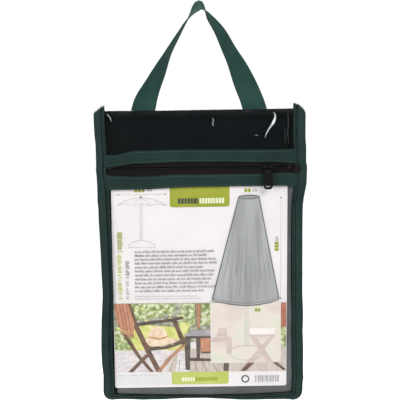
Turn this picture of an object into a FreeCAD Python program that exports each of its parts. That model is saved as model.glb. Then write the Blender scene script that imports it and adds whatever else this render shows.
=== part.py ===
import FreeCAD, Part
import math
import os

os.makedirs("parts", exist_ok=True)

# Zipped clear-front storage bag with one webbing handle, an insert card and a folded cover inside.
# Millimetres. X to the right, the front faces -Y, Z up.
# The origin is the hanging point: the underside of the handle's peak.

# --- sizes of the bag
bodyWidth = 222.0          # between the two side seams
bodyDepth = 28.0           # front face to rear face below the slope
bodyHeight = 348.0         # top edge down to the bottom seam
handleRise = 121.0         # hanging point down to the top edge
slopeHeight = 47.8         # top edge down to where the faces turn vertical

# --- cloth and film
vinylThick = 0.5
backThick = 0.6
gussetThick = 0.6
tapeThick = 0.8
hemSpare = 0.5             # between the front and rear bindings where they meet at the top
tapeWidth = 12.5           # binding as folded, seam to outer edge
earHeight = 4.0            # cut binding ends standing above the top edge
cornerRadius = 10.0
bottomDrop = 10.5          # how far the bottom binding hangs below the seam
hemTapeThick = 0.4
hemTapeHeight = 3.5
stiffenerHeight = 8.0

# --- zip
bandHeight = 12.6
bandThick = 0.7
zipOpening = 16.0          # between the two bands
zipTapeThick = 0.6
zipTapeTuck = 10.0         # tape hidden behind each band
coilHeight = 2.4
coilThick = 1.5
coilGap = 0.8              # slot the slider's post runs in
stopLength = 3.0
stopInset = 6.0            # side seam to the middle of a stop

# --- slider and pull
sliderLength = 15.0
sliderWidth = 9.0
sliderPlate = 1.0
sliderInset = 31.4         # right side seam to the middle of the slider, zip shut
tapeClear = 0.3
coilClear = 0.2
postThick = 0.5
postLength = 4.0
bailSpan = 10.4
bailPost = 1.4
bailBarRadius = 0.6
bailRise = 2.1             # bar axis above the top plate
linkClear = 0.2
linkWall = 0.7
linkLength = 5.0           # bar axis to rivet
linkWidth = 5.0
linkThick = 1.0
rivetRadius = 1.0
rivetClear = 0.15
rivetHeadRadius = 1.8
rivetHeadThick = 0.5
tabWidth = 10.5
tabLength = 23.4
tabThick = 1.4
tabTop = 2.6               # rivet up to the tab's upper edge
tabClear = 0.3             # tab to the link's eye
headGap = 0.2              # tab to rivet head
tabHoleWidth = 6.3
tabHoleHeight = 2.7
tabHoleRise = 2.4          # lower edge of the tab up to the hole

# --- handle
strapWidth = 25.0
strapThick = 1.2
footInset = 45.0           # side seam to the middle of a foot
foldBack = 145.0           # degrees the handle lies back
foldClear = 0.6            # above the height the strap needs to lie back
foldSwell = 0.15           # strap end thicker than the strap at the fold
peakRadius = 7.0           # centre line of the bend over the hook
tailLength = 36.0
stitchMargin = 2.5
twistSteps = [0.0, 0.06, 0.14, 0.32, 0.52, 0.70, 0.85, 1.0]
twistLeft = [0, 0, 32, 50, 70, 77, 82, 90]
twistRight = [0, 0, 0, 30, 50, 60, 74, 90]

# --- contents
cardSideGap = 6.0
cardTuck = 6.4             # card hidden behind the lower band
cardThick = 0.5
cardRise = 3.0             # card above the bottom seam
cardGap = 0.2
coverSideGap = 2.0
coverTuck = 8.6
coverRise = 0.8
coverGap = 0.2
coverRadius = 7.0

# --- thread
threadWidth = 0.5
threadThick = 0.25
bindingStitch = 2.4        # seam edge to the stitch line
bandStitch = 1.8

# --- derived places
hemThickness = vinylThick + backThick + 2 * gussetThick + 2 * tapeThick + hemSpare
midY = -strapThick / 2 - hemThickness / 2
seamX = bodyWidth / 2
footSpacing = bodyWidth - 2 * footInset
sliderRest = seamX - sliderInset
hingeRise = strapThick / 2 * math.tan(math.radians(foldBack) / 2) + foldClear
foldRadius = strapThick / 2 + foldSwell
edgeX = seamX + tapeWidth
hemZ = -handleRise
kneeZ = hemZ - slopeHeight
upperBandZ = kneeZ
zipZ = upperBandZ - bandHeight - zipOpening / 2
lowerBandZ = upperBandZ - bandHeight - zipOpening
bottomZ = hemZ - bodyHeight
sideBottomZ = bottomZ - bottomDrop
hingeZ = hemZ + hingeRise
bottomIn = math.sqrt(tapeWidth ** 2 - bottomDrop ** 2)
frontY = midY - bodyDepth / 2
backY = midY + bodyDepth / 2
zipTapeOut = -vinylThick - bandThick
zipTapeIn = zipTapeOut - zipTapeThick
coilOut = zipTapeOut + coilThick
topPlateIn = coilOut + coilClear
topPlateOut = topPlateIn + sliderPlate
barOut = topPlateOut + bailRise
bottomPlateOut = zipTapeIn - tapeClear
bottomPlateIn = bottomPlateOut - sliderPlate
linkIn = barOut - linkThick / 2
linkOut = barOut + linkThick / 2
tabIn = barOut + bailBarRadius + linkClear + linkWall + tabClear
tabOut = tabIn + tabThick
rivetZ = zipZ - linkLength
stopX = seamX - stopInset
coilEndX = stopX - stopLength / 2


def save(name, shape):
    shape.exportStep("parts/" + name + ".step")
    print(name, round(shape.Volume, 2), shape.isValid(), len(shape.Solids))


def box(x0, x1, y0, y1, z0, z1):
    return Part.makeBox(x1 - x0, y1 - y0, z1 - z0, FreeCAD.Vector(x0, y0, z0))


def rod(radius, length, start, axis):
    return Part.makeCylinder(radius, length, FreeCAD.Vector(*start), FreeCAD.Vector(*axis))


def fuse(shapes):
    whole = shapes[0]
    for shape in shapes[1:]:
        whole = whole.fuse(shape)
    return whole.removeSplitter()


# Distance of a face from the middle of the bag at height z.
def halfDepth(z, tucked):
    if z >= hemZ:
        return hemThickness / 2
    if z >= kneeZ:
        part = (hemZ - z) / slopeHeight
        return hemThickness / 2 + part * (bodyDepth - hemThickness) / 2
    if z >= bottomZ or not tucked:
        return bodyDepth / 2
    return bodyDepth / 2 - bottomIn * (bottomZ - z) / bottomDrop


def levels(zTop, zBottom):
    inside = [z for z in (hemZ, kneeZ, bottomZ) if zBottom < z < zTop]
    return [zTop] + inside + [zBottom]


def prism(points, x0, x1):
    corners = [FreeCAD.Vector(x0, y, z) for y, z in points]
    wire = Part.makePolygon(corners + corners[:1])
    return Part.Face(wire).extrude(FreeCAD.Vector(x1 - x0, 0, 0))


# A sheet following the front (side -1) or rear (side 1) face, inner and outer measured outward.
def layer(side, zTop, zBottom, inner, outer, x0, x1, tucked=False):
    heights = levels(zTop, zBottom)
    out = [(midY + side * (halfDepth(z, tucked) + outer), z) for z in heights]
    back = [(midY + side * (halfDepth(z, tucked) + inner), z) for z in reversed(heights)]
    return prism(out + back, x0, x1)


# Front outline of a side binding as a thick slab, shrunk by inset at its outer and lower edges.
def sideOutline(side, inset, zTop):
    zLow = sideBottomZ + inset
    reach = edgeX - inset
    depth = bodyDepth + 20
    slab = box(seamX, reach, midY - depth / 2, midY + depth / 2, zLow, zTop)
    corner = [edge for edge in slab.Edges if abs(edge.BoundBox.XMin - reach) < 1e-6
              and abs(edge.BoundBox.XMax - reach) < 1e-6 and abs(edge.BoundBox.ZMax - zLow) < 1e-6
              and abs(edge.BoundBox.ZMin - zLow) < 1e-6]
    slab = slab.makeFillet(cornerRadius - inset, corner)
    if side < 0:
        slab = slab.mirror(FreeCAD.Vector(0, 0, 0), FreeCAD.Vector(1, 0, 0))
    return slab


def spanX(side, inner, outer):
    return (inner, outer) if side > 0 else (-outer, -inner)


# Tape folded round a side seam: two legs and the fold, its top end cut off above the top edge.
def sideBinding(face, side):
    panel = vinylThick if face < 0 else backThick
    fill = panel + gussetThick
    x0, x1 = spanX(side, seamX, edgeX)
    top = hemZ + earHeight
    whole = sideOutline(side, 0, top)
    hollow = sideOutline(side, tapeThick, top)
    outer = layer(face, top, sideBottomZ, 0, tapeThick, x0, x1).common(whole)
    i0, i1 = spanX(side, seamX + gussetThick, edgeX)
    inner = layer(face, top, sideBottomZ, -fill - tapeThick, -fill, i0, i1).common(whole)
    fold = layer(face, top, sideBottomZ, -fill, 0, x0, x1).common(whole.cut(hollow))
    return fuse([outer, inner, fold])


def bottomBinding(face):
    panel = vinylThick if face < 0 else backThick
    fill = panel + gussetThick
    outer = layer(face, bottomZ, sideBottomZ, 0, tapeThick, -seamX, seamX, True)
    inner = layer(face, bottomZ, sideBottomZ, -fill - tapeThick, -fill, -seamX, seamX, True)
    fold = layer(face, sideBottomZ + tapeThick, sideBottomZ, -fill, 0, -seamX, seamX, True)
    return fuse([outer, inner, fold])


# Panel with its seam allowances tucked into the side and bottom bindings.
def panelBody(face, zTop, thick):
    reach = edgeX - tapeThick
    main = layer(face, zTop, bottomZ, -thick, 0, -reach, reach)
    foot = layer(face, bottomZ, sideBottomZ + tapeThick, -thick, 0, -seamX, seamX, True)
    return fuse([main, foot])


def sideGusset(side):
    x0, x1 = spanX(side, seamX, seamX + gussetThick)
    heights = levels(hemZ, bottomZ)
    front = [(midY - halfDepth(z, False) + vinylThick, z) for z in heights]
    rear = [(midY + halfDepth(z, False) - backThick, z) for z in reversed(heights)]
    pieces = [prism(front + rear, x0, x1)]
    f0, f1 = spanX(side, seamX + gussetThick, edgeX - tapeThick)
    for face, panel in ((-1, vinylThick), (1, backThick)):
        pieces.append(layer(face, hemZ, bottomZ, -panel - gussetThick, -panel, f0, f1))
    return fuse(pieces)


def bottomGusset():
    wall = box(-seamX, seamX, frontY + vinylThick, backY - backThick, bottomZ, bottomZ + gussetThick)
    pieces = [wall]
    for face, panel in ((-1, vinylThick), (1, backThick)):
        pieces.append(layer(face, bottomZ, sideBottomZ + tapeThick, -panel - gussetThick, -panel,
                            -seamX, seamX, True))
    return fuse(pieces)


def hemTape():
    leg = layer(-1, hemZ, hemZ - hemTapeHeight, 0, hemTapeThick, -seamX, seamX)
    cap = box(-seamX, seamX, midY - hemThickness / 2 - hemTapeThick, midY + hemThickness / 2,
              hemZ, hemZ + hemTapeThick)
    return fuse([leg, cap])


def stiffener():
    return box(-seamX, seamX, midY - hemThickness / 2 + vinylThick,
               midY + hemThickness / 2 - backThick, hemZ - stiffenerHeight, hemZ)


# Tape folded over a raw panel edge; the fold faces the zip.
def zipBand(zFold, zRaw):
    top = max(zFold, zRaw)
    low = min(zFold, zRaw)
    step = bandThick if zRaw > zFold else -bandThick
    outer = box(-seamX, seamX, frontY - bandThick, frontY, low, top)
    inner = box(-seamX, seamX, frontY + vinylThick, frontY + vinylThick + bandThick, low, top)
    near, far = sorted((zFold, zFold + step))
    fold = box(-seamX, seamX, frontY, frontY + vinylThick, near, far)
    return fuse([outer, inner, fold])


# Woven zip tape from the coil outward behind its band, direction 1 up or -1 down.
def zipTape(direction):
    near = zipZ + direction * coilGap / 2
    far = zipZ + direction * (zipOpening / 2 + zipTapeTuck)
    return box(-seamX, seamX, frontY - zipTapeOut, frontY - zipTapeIn, min(near, far), max(near, far))


def zipCoil(direction):
    near = zipZ + direction * coilGap / 2
    far = near + direction * coilHeight
    return box(-coilEndX, coilEndX, frontY - coilOut, frontY - zipTapeOut, min(near, far), max(near, far))


def zipStop(side):
    x0, x1 = spanX(side, stopX - stopLength / 2, stopX + stopLength / 2)
    half = coilGap / 2 + coilHeight
    return box(x0, x1, frontY - coilOut - 0.3, frontY - zipTapeOut, zipZ - half, zipZ + half)


# Slider plate outline in X and Z, wide at the shoulders and rounded off to the tail.
def platePoints(length, width, nose):
    h = length / 2
    w = width / 2
    return [(h, -nose), (h, nose), (h * 0.45, w), (-h * 0.5, w * 0.86), (-h, w * 0.62),
            (-h, -w * 0.62), (-h * 0.5, -w * 0.86), (h * 0.45, -w)]


def plateSolid(points, out0, out1):
    y = frontY - out1
    corners = [FreeCAD.Vector(sliderRest + x, y, zipZ + z) for x, z in points]
    wire = Part.makePolygon(corners + corners[:1])
    return Part.Face(wire).extrude(FreeCAD.Vector(0, out1 - out0, 0))


def sliderBody():
    outline = platePoints(sliderLength, sliderWidth, sliderWidth * 0.3)
    upper = plateSolid(outline, topPlateIn, topPlateOut)
    lower = plateSolid(outline, bottomPlateIn, bottomPlateOut)
    post = box(sliderRest + sliderLength / 2 - postLength - 1, sliderRest + sliderLength / 2 - 1,
               frontY - topPlateIn, frontY - bottomPlateOut, zipZ - postThick / 2, zipZ + postThick / 2)
    skirtLow = zipTapeOut + tapeClear
    full = plateSolid(outline, skirtLow, topPlateIn)
    inside = coilGap / 2 + coilHeight + coilClear
    hollow = box(sliderRest - sliderLength, sliderRest + sliderLength, frontY - topPlateIn - 1,
                 frontY - skirtLow + 1, zipZ - inside, zipZ + inside)
    skirts = full.cut(hollow)
    return fuse([upper, lower, post, skirts])


def sliderBail():
    half = bailSpan / 2
    bar = rod(bailBarRadius, bailSpan, (sliderRest - half, frontY - barOut, zipZ), (1, 0, 0))
    pieces = [bar]
    for end in (-1, 1):
        outerX = sliderRest + end * half
        innerX = outerX - end * bailPost
        pieces.append(box(min(outerX, innerX), max(outerX, innerX), frontY - barOut, frontY - topPlateOut,
                          zipZ - bailBarRadius, zipZ + bailBarRadius))
    return fuse(pieces)


def pullLink():
    eyeInner = bailBarRadius + linkClear
    eyeOuter = eyeInner + linkWall
    start = (sliderRest - linkWidth / 2, frontY - barOut, zipZ)
    eye = rod(eyeOuter, linkWidth, start, (1, 0, 0))
    plate = box(sliderRest - linkWidth / 2, sliderRest + linkWidth / 2, frontY - linkOut, frontY - linkIn,
                rivetZ, zipZ)
    foot = rod(linkWidth / 2, linkThick, (sliderRest, frontY - linkOut, rivetZ), (0, 1, 0))
    hole = rod(eyeInner, linkWidth + 2, (start[0] - 1, start[1], start[2]), (1, 0, 0))
    return fuse([eye, plate, foot]).cut(hole)


def pullRivet():
    shank = rod(rivetRadius, tabOut - linkOut + headGap,
                (sliderRest, frontY - tabOut - headGap, rivetZ), (0, 1, 0))
    head = rod(rivetHeadRadius, rivetHeadThick,
               (sliderRest, frontY - tabOut - headGap - rivetHeadThick, rivetZ), (0, 1, 0))
    return fuse([shank, head])


def pullTab():
    top = rivetZ + tabTop
    low = top - tabLength
    half = tabWidth / 2
    y0 = frontY - tabOut
    y1 = frontY - tabIn
    plate = box(sliderRest - half, sliderRest + half, y0, y1, low, top)
    upright = [e for e in plate.Edges if e.BoundBox.YLength > tabThick / 2]
    plate = plate.makeFillet(half * 0.72, [e for e in upright if e.BoundBox.ZMax < low + 0.1])
    upright = [e for e in plate.Edges if e.BoundBox.YLength > tabThick / 2]
    plate = plate.makeFillet(half * 0.45, [e for e in upright if e.BoundBox.ZMin > top - 0.1])
    eye = rod(rivetRadius + rivetClear, tabThick + 2, (sliderRest, y0 - 1, rivetZ), (0, 1, 0))
    slotLow = low + tabHoleRise
    slot = rod(tabHoleWidth / 2, tabThick + 2, (sliderRest, y0 - 1, slotLow + tabHoleHeight), (0, 1, 0))
    keep = box(sliderRest - half, sliderRest + half, y0 - 1, y1 + 1, slotLow, slotLow + tabHoleHeight)
    return plate.cut(eye).cut(slot.common(keep))


# Centre, travel direction and twist of each strap section, left foot to right foot.
def strapFrames():
    peak = strapThick / 2
    frames = []
    slope = math.atan2(footSpacing / 2, peak - hingeZ)
    bend = math.pi / 2 - slope
    for side, twists in ((-1, twistLeft), (1, twistRight)):
        rise = FreeCAD.Vector(-side * math.sin(slope), 0, math.cos(slope))
        centre = FreeCAD.Vector(0, 0, peak - peakRadius)
        rimEnd = centre + FreeCAD.Vector(side * math.cos(slope), 0, math.sin(slope)) * peakRadius
        foot = FreeCAD.Vector(side * footSpacing / 2, 0, hingeZ)
        leg = []
        for step, twist in zip(twistSteps, twists):
            spot = foot + (rimEnd - foot) * step
            leg.append((spot, (rimEnd - foot).normalize(), math.radians(twist)))
        extra = foot - (rimEnd - foot).normalize() * strapWidth
        leg.insert(0, (extra, (rimEnd - foot).normalize(), 0.0))
        arc = []
        for part in (0.33, 0.66):
            angle = slope + bend * part
            spot = centre + FreeCAD.Vector(side * math.cos(angle), 0, math.sin(angle)) * peakRadius
            arc.append((spot, FreeCAD.Vector(-side * math.sin(angle), 0, math.cos(angle)), math.pi / 2))
        run = leg + arc
        if side < 0:
            frames = run + [(FreeCAD.Vector(0, 0, peak), FreeCAD.Vector(1, 0, 0), math.pi / 2)]
        else:
            frames = frames + [(spot, travel * -1, twist) for spot, travel, twist in reversed(run)]
    return frames


def strapSection(spot, travel, twist):
    outward = FreeCAD.Vector(-travel.z, 0, travel.x)
    across = outward * math.cos(twist) - FreeCAD.Vector(0, 1, 0) * math.sin(twist)
    thick = travel.cross(across)
    corners = []
    for a, b in ((-1, -1), (1, -1), (1, 1), (-1, 1)):
        corners.append(spot + across * (a * strapWidth / 2) + thick * (b * strapThick / 2))
    return Part.makePolygon(corners + corners[:1])


def handleStrap():
    frames = strapFrames()
    wires = [strapSection(*frame) for frame in frames]
    ribbon = Part.makeLoft(wires, True, True)
    below = box(-footSpacing, footSpacing, -strapWidth, strapWidth, hingeZ - 3 * strapWidth, hingeZ)
    ribbon = ribbon.cut(below)
    pieces = [ribbon]
    for side in (-1, 1):
        x0, x1 = footSpan(side)
        pieces.append(rod(foldRadius, x1 - x0, (x0, 0, hingeZ), (1, 0, 0)))
    return fuse(pieces)


def footSpan(side):
    slope = footSlope()
    half = strapWidth / 2 / math.cos(slope)
    return side * footSpacing / 2 - half, side * footSpacing / 2 + half


def footSlope():
    frames = strapFrames()
    travel = frames[0][1]
    return math.atan2(abs(travel.x), abs(travel.z))


# Slab through the bag in line with a handle leg, start and end measured down from the fold.
def tailPlate(side, width, start, end):
    slope = footSlope()
    slab = box(-width / 2, width / 2, -bodyDepth, bodyDepth, -end, -start)
    slab.rotate(FreeCAD.Vector(0, 0, 0), FreeCAD.Vector(0, 1, 0), -side * math.degrees(slope))
    slab.translate(FreeCAD.Vector(side * footSpacing / 2, 0, hingeZ))
    return slab


def handleTail(side):
    sheet = layer(1, hemZ, bottomZ, 0, strapThick, -seamX, seamX)
    return sheet.common(tailPlate(side, strapWidth, -strapWidth, tailLength))


# Sewn box with a cross on each tail.
def tailStitching():
    sheet = layer(1, hemZ, bottomZ, strapThick, strapThick + threadThick, -seamX, seamX)
    pieces = []
    slope = math.degrees(footSlope())
    for side in (-1, 1):
        wide = strapWidth - 2 * stitchMargin
        low = tailLength - stitchMargin
        high = low - wide
        ring = tailPlate(side, wide, high, low)
        ring = ring.cut(tailPlate(side, wide - 2 * threadWidth, high + threadWidth, low - threadWidth))
        bars = [ring]
        for turn in (-45, 45):
            bar = box(-wide / 2 * 1.3, wide / 2 * 1.3, -bodyDepth, bodyDepth, -threadWidth / 2, threadWidth / 2)
            bar.rotate(FreeCAD.Vector(0, 0, 0), FreeCAD.Vector(0, 1, 0), turn)
            bar.translate(FreeCAD.Vector(0, 0, -(high + low) / 2))
            bar.rotate(FreeCAD.Vector(0, 0, 0), FreeCAD.Vector(0, 1, 0), -side * slope)
            bar.translate(FreeCAD.Vector(side * footSpacing / 2, 0, hingeZ))
            bars.append(bar)
        pieces.append(fuse(bars).common(sheet))
    return Part.makeCompound(pieces)


def bindingStitching(face):
    x = seamX + bindingStitch
    lines = []
    for side in (-1, 1):
        x0, x1 = spanX(side, x, x + threadWidth)
        lines.append(layer(face, hemZ - 1, sideBottomZ + 4, tapeThick, tapeThick + threadThick, x0, x1))
    lines.append(layer(face, bottomZ - bindingStitch, bottomZ - bindingStitch - threadWidth,
                       tapeThick, tapeThick + threadThick, -seamX, seamX, True))
    return Part.makeCompound(lines)


def zipStitching():
    lines = []
    upper = (upperBandZ - bandStitch, upperBandZ - bandHeight + bandStitch)
    lower = (lowerBandZ - bandStitch, lowerBandZ - bandHeight + bandStitch)
    for z in upper + lower:
        lines.append(box(-seamX, seamX, frontY - bandThick - threadThick, frontY - bandThick,
                         z - threadWidth / 2, z + threadWidth / 2))
    return Part.makeCompound(lines)


def insertCard():
    front = frontY - zipTapeIn + cardGap
    reach = seamX - cardSideGap
    top = lowerBandZ - bandHeight + cardTuck
    return box(-reach, reach, front, front + cardThick, bottomZ + cardRise, top)


def foldedCover():
    front = frontY - zipTapeIn + cardGap + cardThick + coverGap
    rear = backY - backThick - coverGap
    reach = seamX - coverSideGap
    top = lowerBandZ - bandHeight + coverTuck
    block = box(-reach, reach, front, rear, bottomZ + gussetThick + coverRise, top)
    return block.makeFillet(coverRadius, block.Edges)


def upperPanel():
    reach = edgeX - tapeThick
    low = upperBandZ - bandHeight + bandThick
    return layer(-1, hemZ, low, -vinylThick, 0, -reach, reach)


def buildAll():
    save("handle_strap", handleStrap())
    save("upper_front_panel", upperPanel())
    save("front_window", panelBody(-1, lowerBandZ - bandThick, vinylThick))
    save("back_panel", panelBody(1, hemZ, backThick))
    for side, word in ((-1, "left"), (1, "right")):
        save("gusset_" + word, sideGusset(side))
        save("front_binding_" + word, sideBinding(-1, side))
        save("back_binding_" + word, sideBinding(1, side))
        save("zip_stop_" + word, zipStop(side))
        save("handle_tail_" + word, handleTail(side))
    save("gusset_bottom", bottomGusset())
    save("front_binding_bottom", bottomBinding(-1))
    save("back_binding_bottom", bottomBinding(1))
    save("top_hem_tape", hemTape())
    save("hem_stiffener", stiffener())
    save("zip_band_upper", zipBand(upperBandZ - bandHeight, upperBandZ))
    save("zip_band_lower", zipBand(lowerBandZ, lowerBandZ - bandHeight))
    for direction, word in ((1, "upper"), (-1, "lower")):
        save("zip_tape_" + word, zipTape(direction))
        save("zip_coil_" + word, zipCoil(direction))
    save("slider_body", sliderBody())
    save("slider_bail", sliderBail())
    save("pull_link", pullLink())
    save("pull_rivet", pullRivet())
    save("pull_tab", pullTab())
    save("insert_card", insertCard())
    save("folded_cover", foldedCover())
    save("handle_stitching", tailStitching())
    save("front_stitching", bindingStitching(-1))
    save("back_stitching", bindingStitching(1))
    save("zip_stitching", zipStitching())


buildAll()
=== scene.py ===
import bpy
import math
import random
import numpy as np
from mathutils import Matrix, Vector


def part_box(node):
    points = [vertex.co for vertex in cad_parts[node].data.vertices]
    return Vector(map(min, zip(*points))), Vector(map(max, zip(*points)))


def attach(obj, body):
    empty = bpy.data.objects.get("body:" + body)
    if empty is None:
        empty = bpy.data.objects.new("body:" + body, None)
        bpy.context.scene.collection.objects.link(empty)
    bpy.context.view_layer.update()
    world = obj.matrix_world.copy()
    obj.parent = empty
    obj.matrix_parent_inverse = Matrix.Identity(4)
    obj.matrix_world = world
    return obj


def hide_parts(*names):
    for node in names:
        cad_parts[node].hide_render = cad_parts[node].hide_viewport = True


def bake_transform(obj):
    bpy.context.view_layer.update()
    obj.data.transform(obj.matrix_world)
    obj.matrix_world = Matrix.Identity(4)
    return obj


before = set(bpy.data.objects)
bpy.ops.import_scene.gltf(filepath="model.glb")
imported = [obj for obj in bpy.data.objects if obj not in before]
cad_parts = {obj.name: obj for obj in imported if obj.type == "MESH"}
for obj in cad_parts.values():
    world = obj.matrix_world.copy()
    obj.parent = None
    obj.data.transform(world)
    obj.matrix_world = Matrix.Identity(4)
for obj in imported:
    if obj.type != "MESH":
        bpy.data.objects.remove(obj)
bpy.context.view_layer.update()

# Clear-fronted zip bag with a webbing handle, a printed card and a folded cover inside.
# Shapes are worked out in millimetres and scaled to metres when a mesh is made.
mm = 0.001


def place(node):
    low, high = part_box(node)
    return [c / mm for c in low], [c / mm for c in high]


# main lines of the bag, all read from the frame
hemZ = place("back_panel")[1][2]
kneeZ = place("zip_band_upper")[1][2]
bandFoldZ = place("zip_band_upper")[0][2], place("zip_band_lower")[1][2]
windowTopZ = place("zip_band_lower")[0][2]
zipZ = (bandFoldZ[0] + bandFoldZ[1]) / 2
bottomZ = place("gusset_left")[0][2]
lowZ = place("front_binding_right")[0][2]
seamX = place("back_binding_bottom")[1][0]
edgeX = place("front_binding_right")[1][0]
frontY = place("front_window")[0][1]
backY = place("back_panel")[1][1]
midY = (frontY + backY) / 2
clothThick = 0.6
filmThick = 0.5
hemDepth = place("back_panel")[0][1] + clothThick - midY
fullDepth = (backY - frontY) / 2
tapeWidth = edgeX - seamX


# how the flat pattern hangs
hang = {
    "kneeSoftness": 0.2,          # share of the slope that the bend at the knee takes up
    "sideFade": (70, 123),        # from here outward a point follows the side
    "frontBulge": 1.2,
    "backBulge": 2.6,
    "flutter": 0.8,               # waviness of the side seams, front to back
    "tuck": 0.646,                # how steeply the lower bindings turn in, per mm of drop
    "tuckFade": (123, 104),
    # how far each side leans to the right, by distance below the top edge
    "left": [(0, 0.2), (12, 0.5), (24, 1.1), (36, 2.4), (47, 2.7), (58, 2.5), (69, 2.0),
             (75, 2.5), (86, 3.0), (105, 2.7), (115, 3.3), (128, 3.3), (152, 4.0), (200, 4.5),
             (223, 4.8), (254, 2.5), (279, 1.3), (295, 0.8), (313, 1.0), (326, 2.2),
             (336, 1.9), (360, 1.3)],
    "right": [(0, 1.0), (12, 0.7), (24, 0.4), (36, 0.1), (47, 0.8), (58, 0.7), (67, 2.2),
              (86, 2.0), (92, 1.0), (104, -1.2), (115, -2.2), (154, -2.3), (200, -1.5),
              (224, -1.1), (248, 0.1), (271, -0.1), (295, 0.9), (325, 1.1), (331, 2.0),
              (336, 1.0), (360, 0.5)],
    # how far a row rises or drops along its width, by distance below the top edge
    "rows": [
        (0, [(-123, -3.1), (-108, -3.0), (-50, -3.3), (0, -2.9), (60, -2.8), (123, -2.2)]),
        (47.8, [(-111, -5.4), (-96, -4.9), (-87, -2.8), (-75, -0.3), (-57, -0.3), (-28, 0.2),
                (0, 0.1), (30, -0.2), (59, -0.4), (88, -0.6), (111, -0.2)]),
        (60.4, [(-111, -8.0), (-106, -7.1), (-96, -5.4), (-87, -4.4), (-76, -3.1), (-58, -2.8),
                (-29, -1.6), (29, -1.7), (47, -2.4), (64, -3.0), (90, -3.1), (99, -3.8),
                (111, -5.0)]),
        (65.5, [(-111, -2.6), (-104, -0.4), (-98, 0), (104, 0), (111, -1.4)]),
        (71.3, [(-111, -2.2), (-104, -0.4), (-98, 0), (104, 0), (111, -1.0)]),
        (76.4, [(-111, 0.3), (-103, -1.2), (-87, -1.6), (-76, -2.5), (-58, -2.1), (-29, -0.1),
                (0, -0.4), (29, -0.5), (64, -0.3), (99, 0.7), (111, 0.0)]),
        (89.0, [(-111, -5.4), (-96, -5.1), (-76, -5.2), (-58, -4.7), (-29, -3.2), (0, -2.4),
                (47, -2.1), (64, -2.3), (111, -2.4)]),
        (125, [(0, 0)]),
        (330, [(0, 0)]),
        (348, [(-123, -0.4), (-110, -2.8), (-100, -4.2), (-65, -5.2), (4, -6.9), (59, -5.8),
               (95, -4.2), (110, -2.9), (123, -1.6)]),
        (358.5, [(-123, 0.7), (-110, 0.1), (-98, -0.1), (-74, -1.2), (-50, -1.0), (-25, 0.2),
                 (0, 0.4), (25, -1.0), (50, -2.6), (75, -2.6), (100, -2.2), (112, -2.4),
                 (123, -1.4)]),
    ],
}


def easeBetween(low, high, value):
    part = np.clip((value - low) / (high - low), 0, 1)
    return part * part * (3 - 2 * part)


def along(table, value):
    spots, sizes = zip(*table)
    return np.interp(value, spots, sizes)


# Smooth wandering between about -1 and 1, the same on every run.
def ripple(seed, size, a, b=0.0):
    rng = random.Random(seed)
    total = 0.0
    for wave in range(6):
        turn = rng.uniform(-0.9, 0.9)
        length = size * rng.uniform(0.7, 1.6)
        total = total + np.sin(2 * math.pi * (a * math.cos(turn) + b * math.sin(turn)) / length
                               + rng.uniform(0, 6.28))
    return total / 3


# Half the bag's depth at a point: narrow at the hem, full below the knee, bindings tucked in below.
def depthAt(x, z):
    soft = hang["kneeSoftness"]
    part = np.maximum((hemZ - z) / (hemZ - kneeZ), 0)
    lean = np.clip(0.5 + 0.5 * (1 - part) / soft, 0, 1)
    share = (1 - lean) + part * lean - soft * lean * (1 - lean)
    tuck = hang["tuck"] * np.maximum(bottomZ - z, 0) * easeBetween(*hang["tuckFade"], np.abs(x))
    return hemDepth + (fullDepth - hemDepth) * share - tuck


# Point standing out from the front (-1) or rear (1) face of the flat pattern.
def onFace(side, x, z, out):
    x, z, out = np.broadcast_arrays(np.asarray(x, float), np.asarray(z, float),
                                    np.asarray(out, float))
    tilt = depthAt(x, z + 0.5) - depthAt(x, z - 0.5)
    size = np.sqrt(1 + tilt ** 2)
    return np.stack([x, midY + side * (depthAt(x, z) + out / size), z - out * tilt / size], -1)


def drape(points):
    x, y, z = np.moveaxis(np.asarray(points, float), -1, 0)
    below = hemZ - z
    rows = hang["rows"]
    levels = [along(table, x) for _, table in rows]
    lift = levels[0]
    for (near, _), (far, _), a, b in zip(rows, rows[1:], levels, levels[1:]):
        part = np.clip((below - near) / (far - near), 0, 1)
        lift = np.where(below >= near, a + (b - a) * part, lift)
    sideWays = (along(hang["left"], below) * easeBetween(*hang["sideFade"], -x)
                + along(hang["right"], below) * easeBetween(*hang["sideFade"], x))
    forward = np.clip((midY - y) / fullDepth, 0, 1)
    rearward = np.clip((y - midY) / fullDepth, 0, 1)
    across = np.clip(1 - (x / seamX) ** 2, 0, 1)
    window = np.sin(math.pi * np.clip((windowTopZ - z) / (windowTopZ - bottomZ), 0, 1))
    whole = np.sin(math.pi * np.clip((hemZ - z) / (hemZ - bottomZ), 0, 1)) ** 0.7
    flange = easeBetween(seamX - 4, edgeX, np.abs(x)) * easeBetween(0, 30, below)
    flutter = hang["flutter"] * flange * ripple(5, 70, z, np.sign(x) * 400 + y)
    shift = (rearward * hang["backBulge"] * across * whole
             - forward * hang["frontBulge"] * across * window + flutter)
    return np.stack([x + sideWays, y + shift, z + lift], -1)


# Closed outline on one face of the bag, between two distances out, hung like the rest.
def ringOn(side, x, z, inner, outer):
    return drape(np.concatenate([onFace(side, x, z, outer), onFace(side, x, z, inner)[::-1]]))


# Direction of a line at each of its points.
def directions(line):
    run = np.gradient(np.asarray(line, float), axis=0)
    return run / np.linalg.norm(run, axis=1)[:, None]


# Line pushed sideways by a set amount, in its own plane.
def offsetLine(line, amount):
    run = directions(line)
    return np.asarray(line, float) + amount * np.stack([-run[:, 1], run[:, 0]], 1)


def thereAndBack(values):
    return np.concatenate([values, values[::-1]])


# Closed outline of a strip of the given thickness about a centre line, with softened ends.
def stripOutline(line, thick):
    left, right = offsetLine(line, thick / 2), offsetLine(line, -thick / 2)
    for edge in (left, right):
        edge[0] += (line[0] - edge[0]) * 0.35
        edge[-1] += (line[-1] - edge[-1]) * 0.35
    return np.concatenate([left, right[::-1]])


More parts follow.
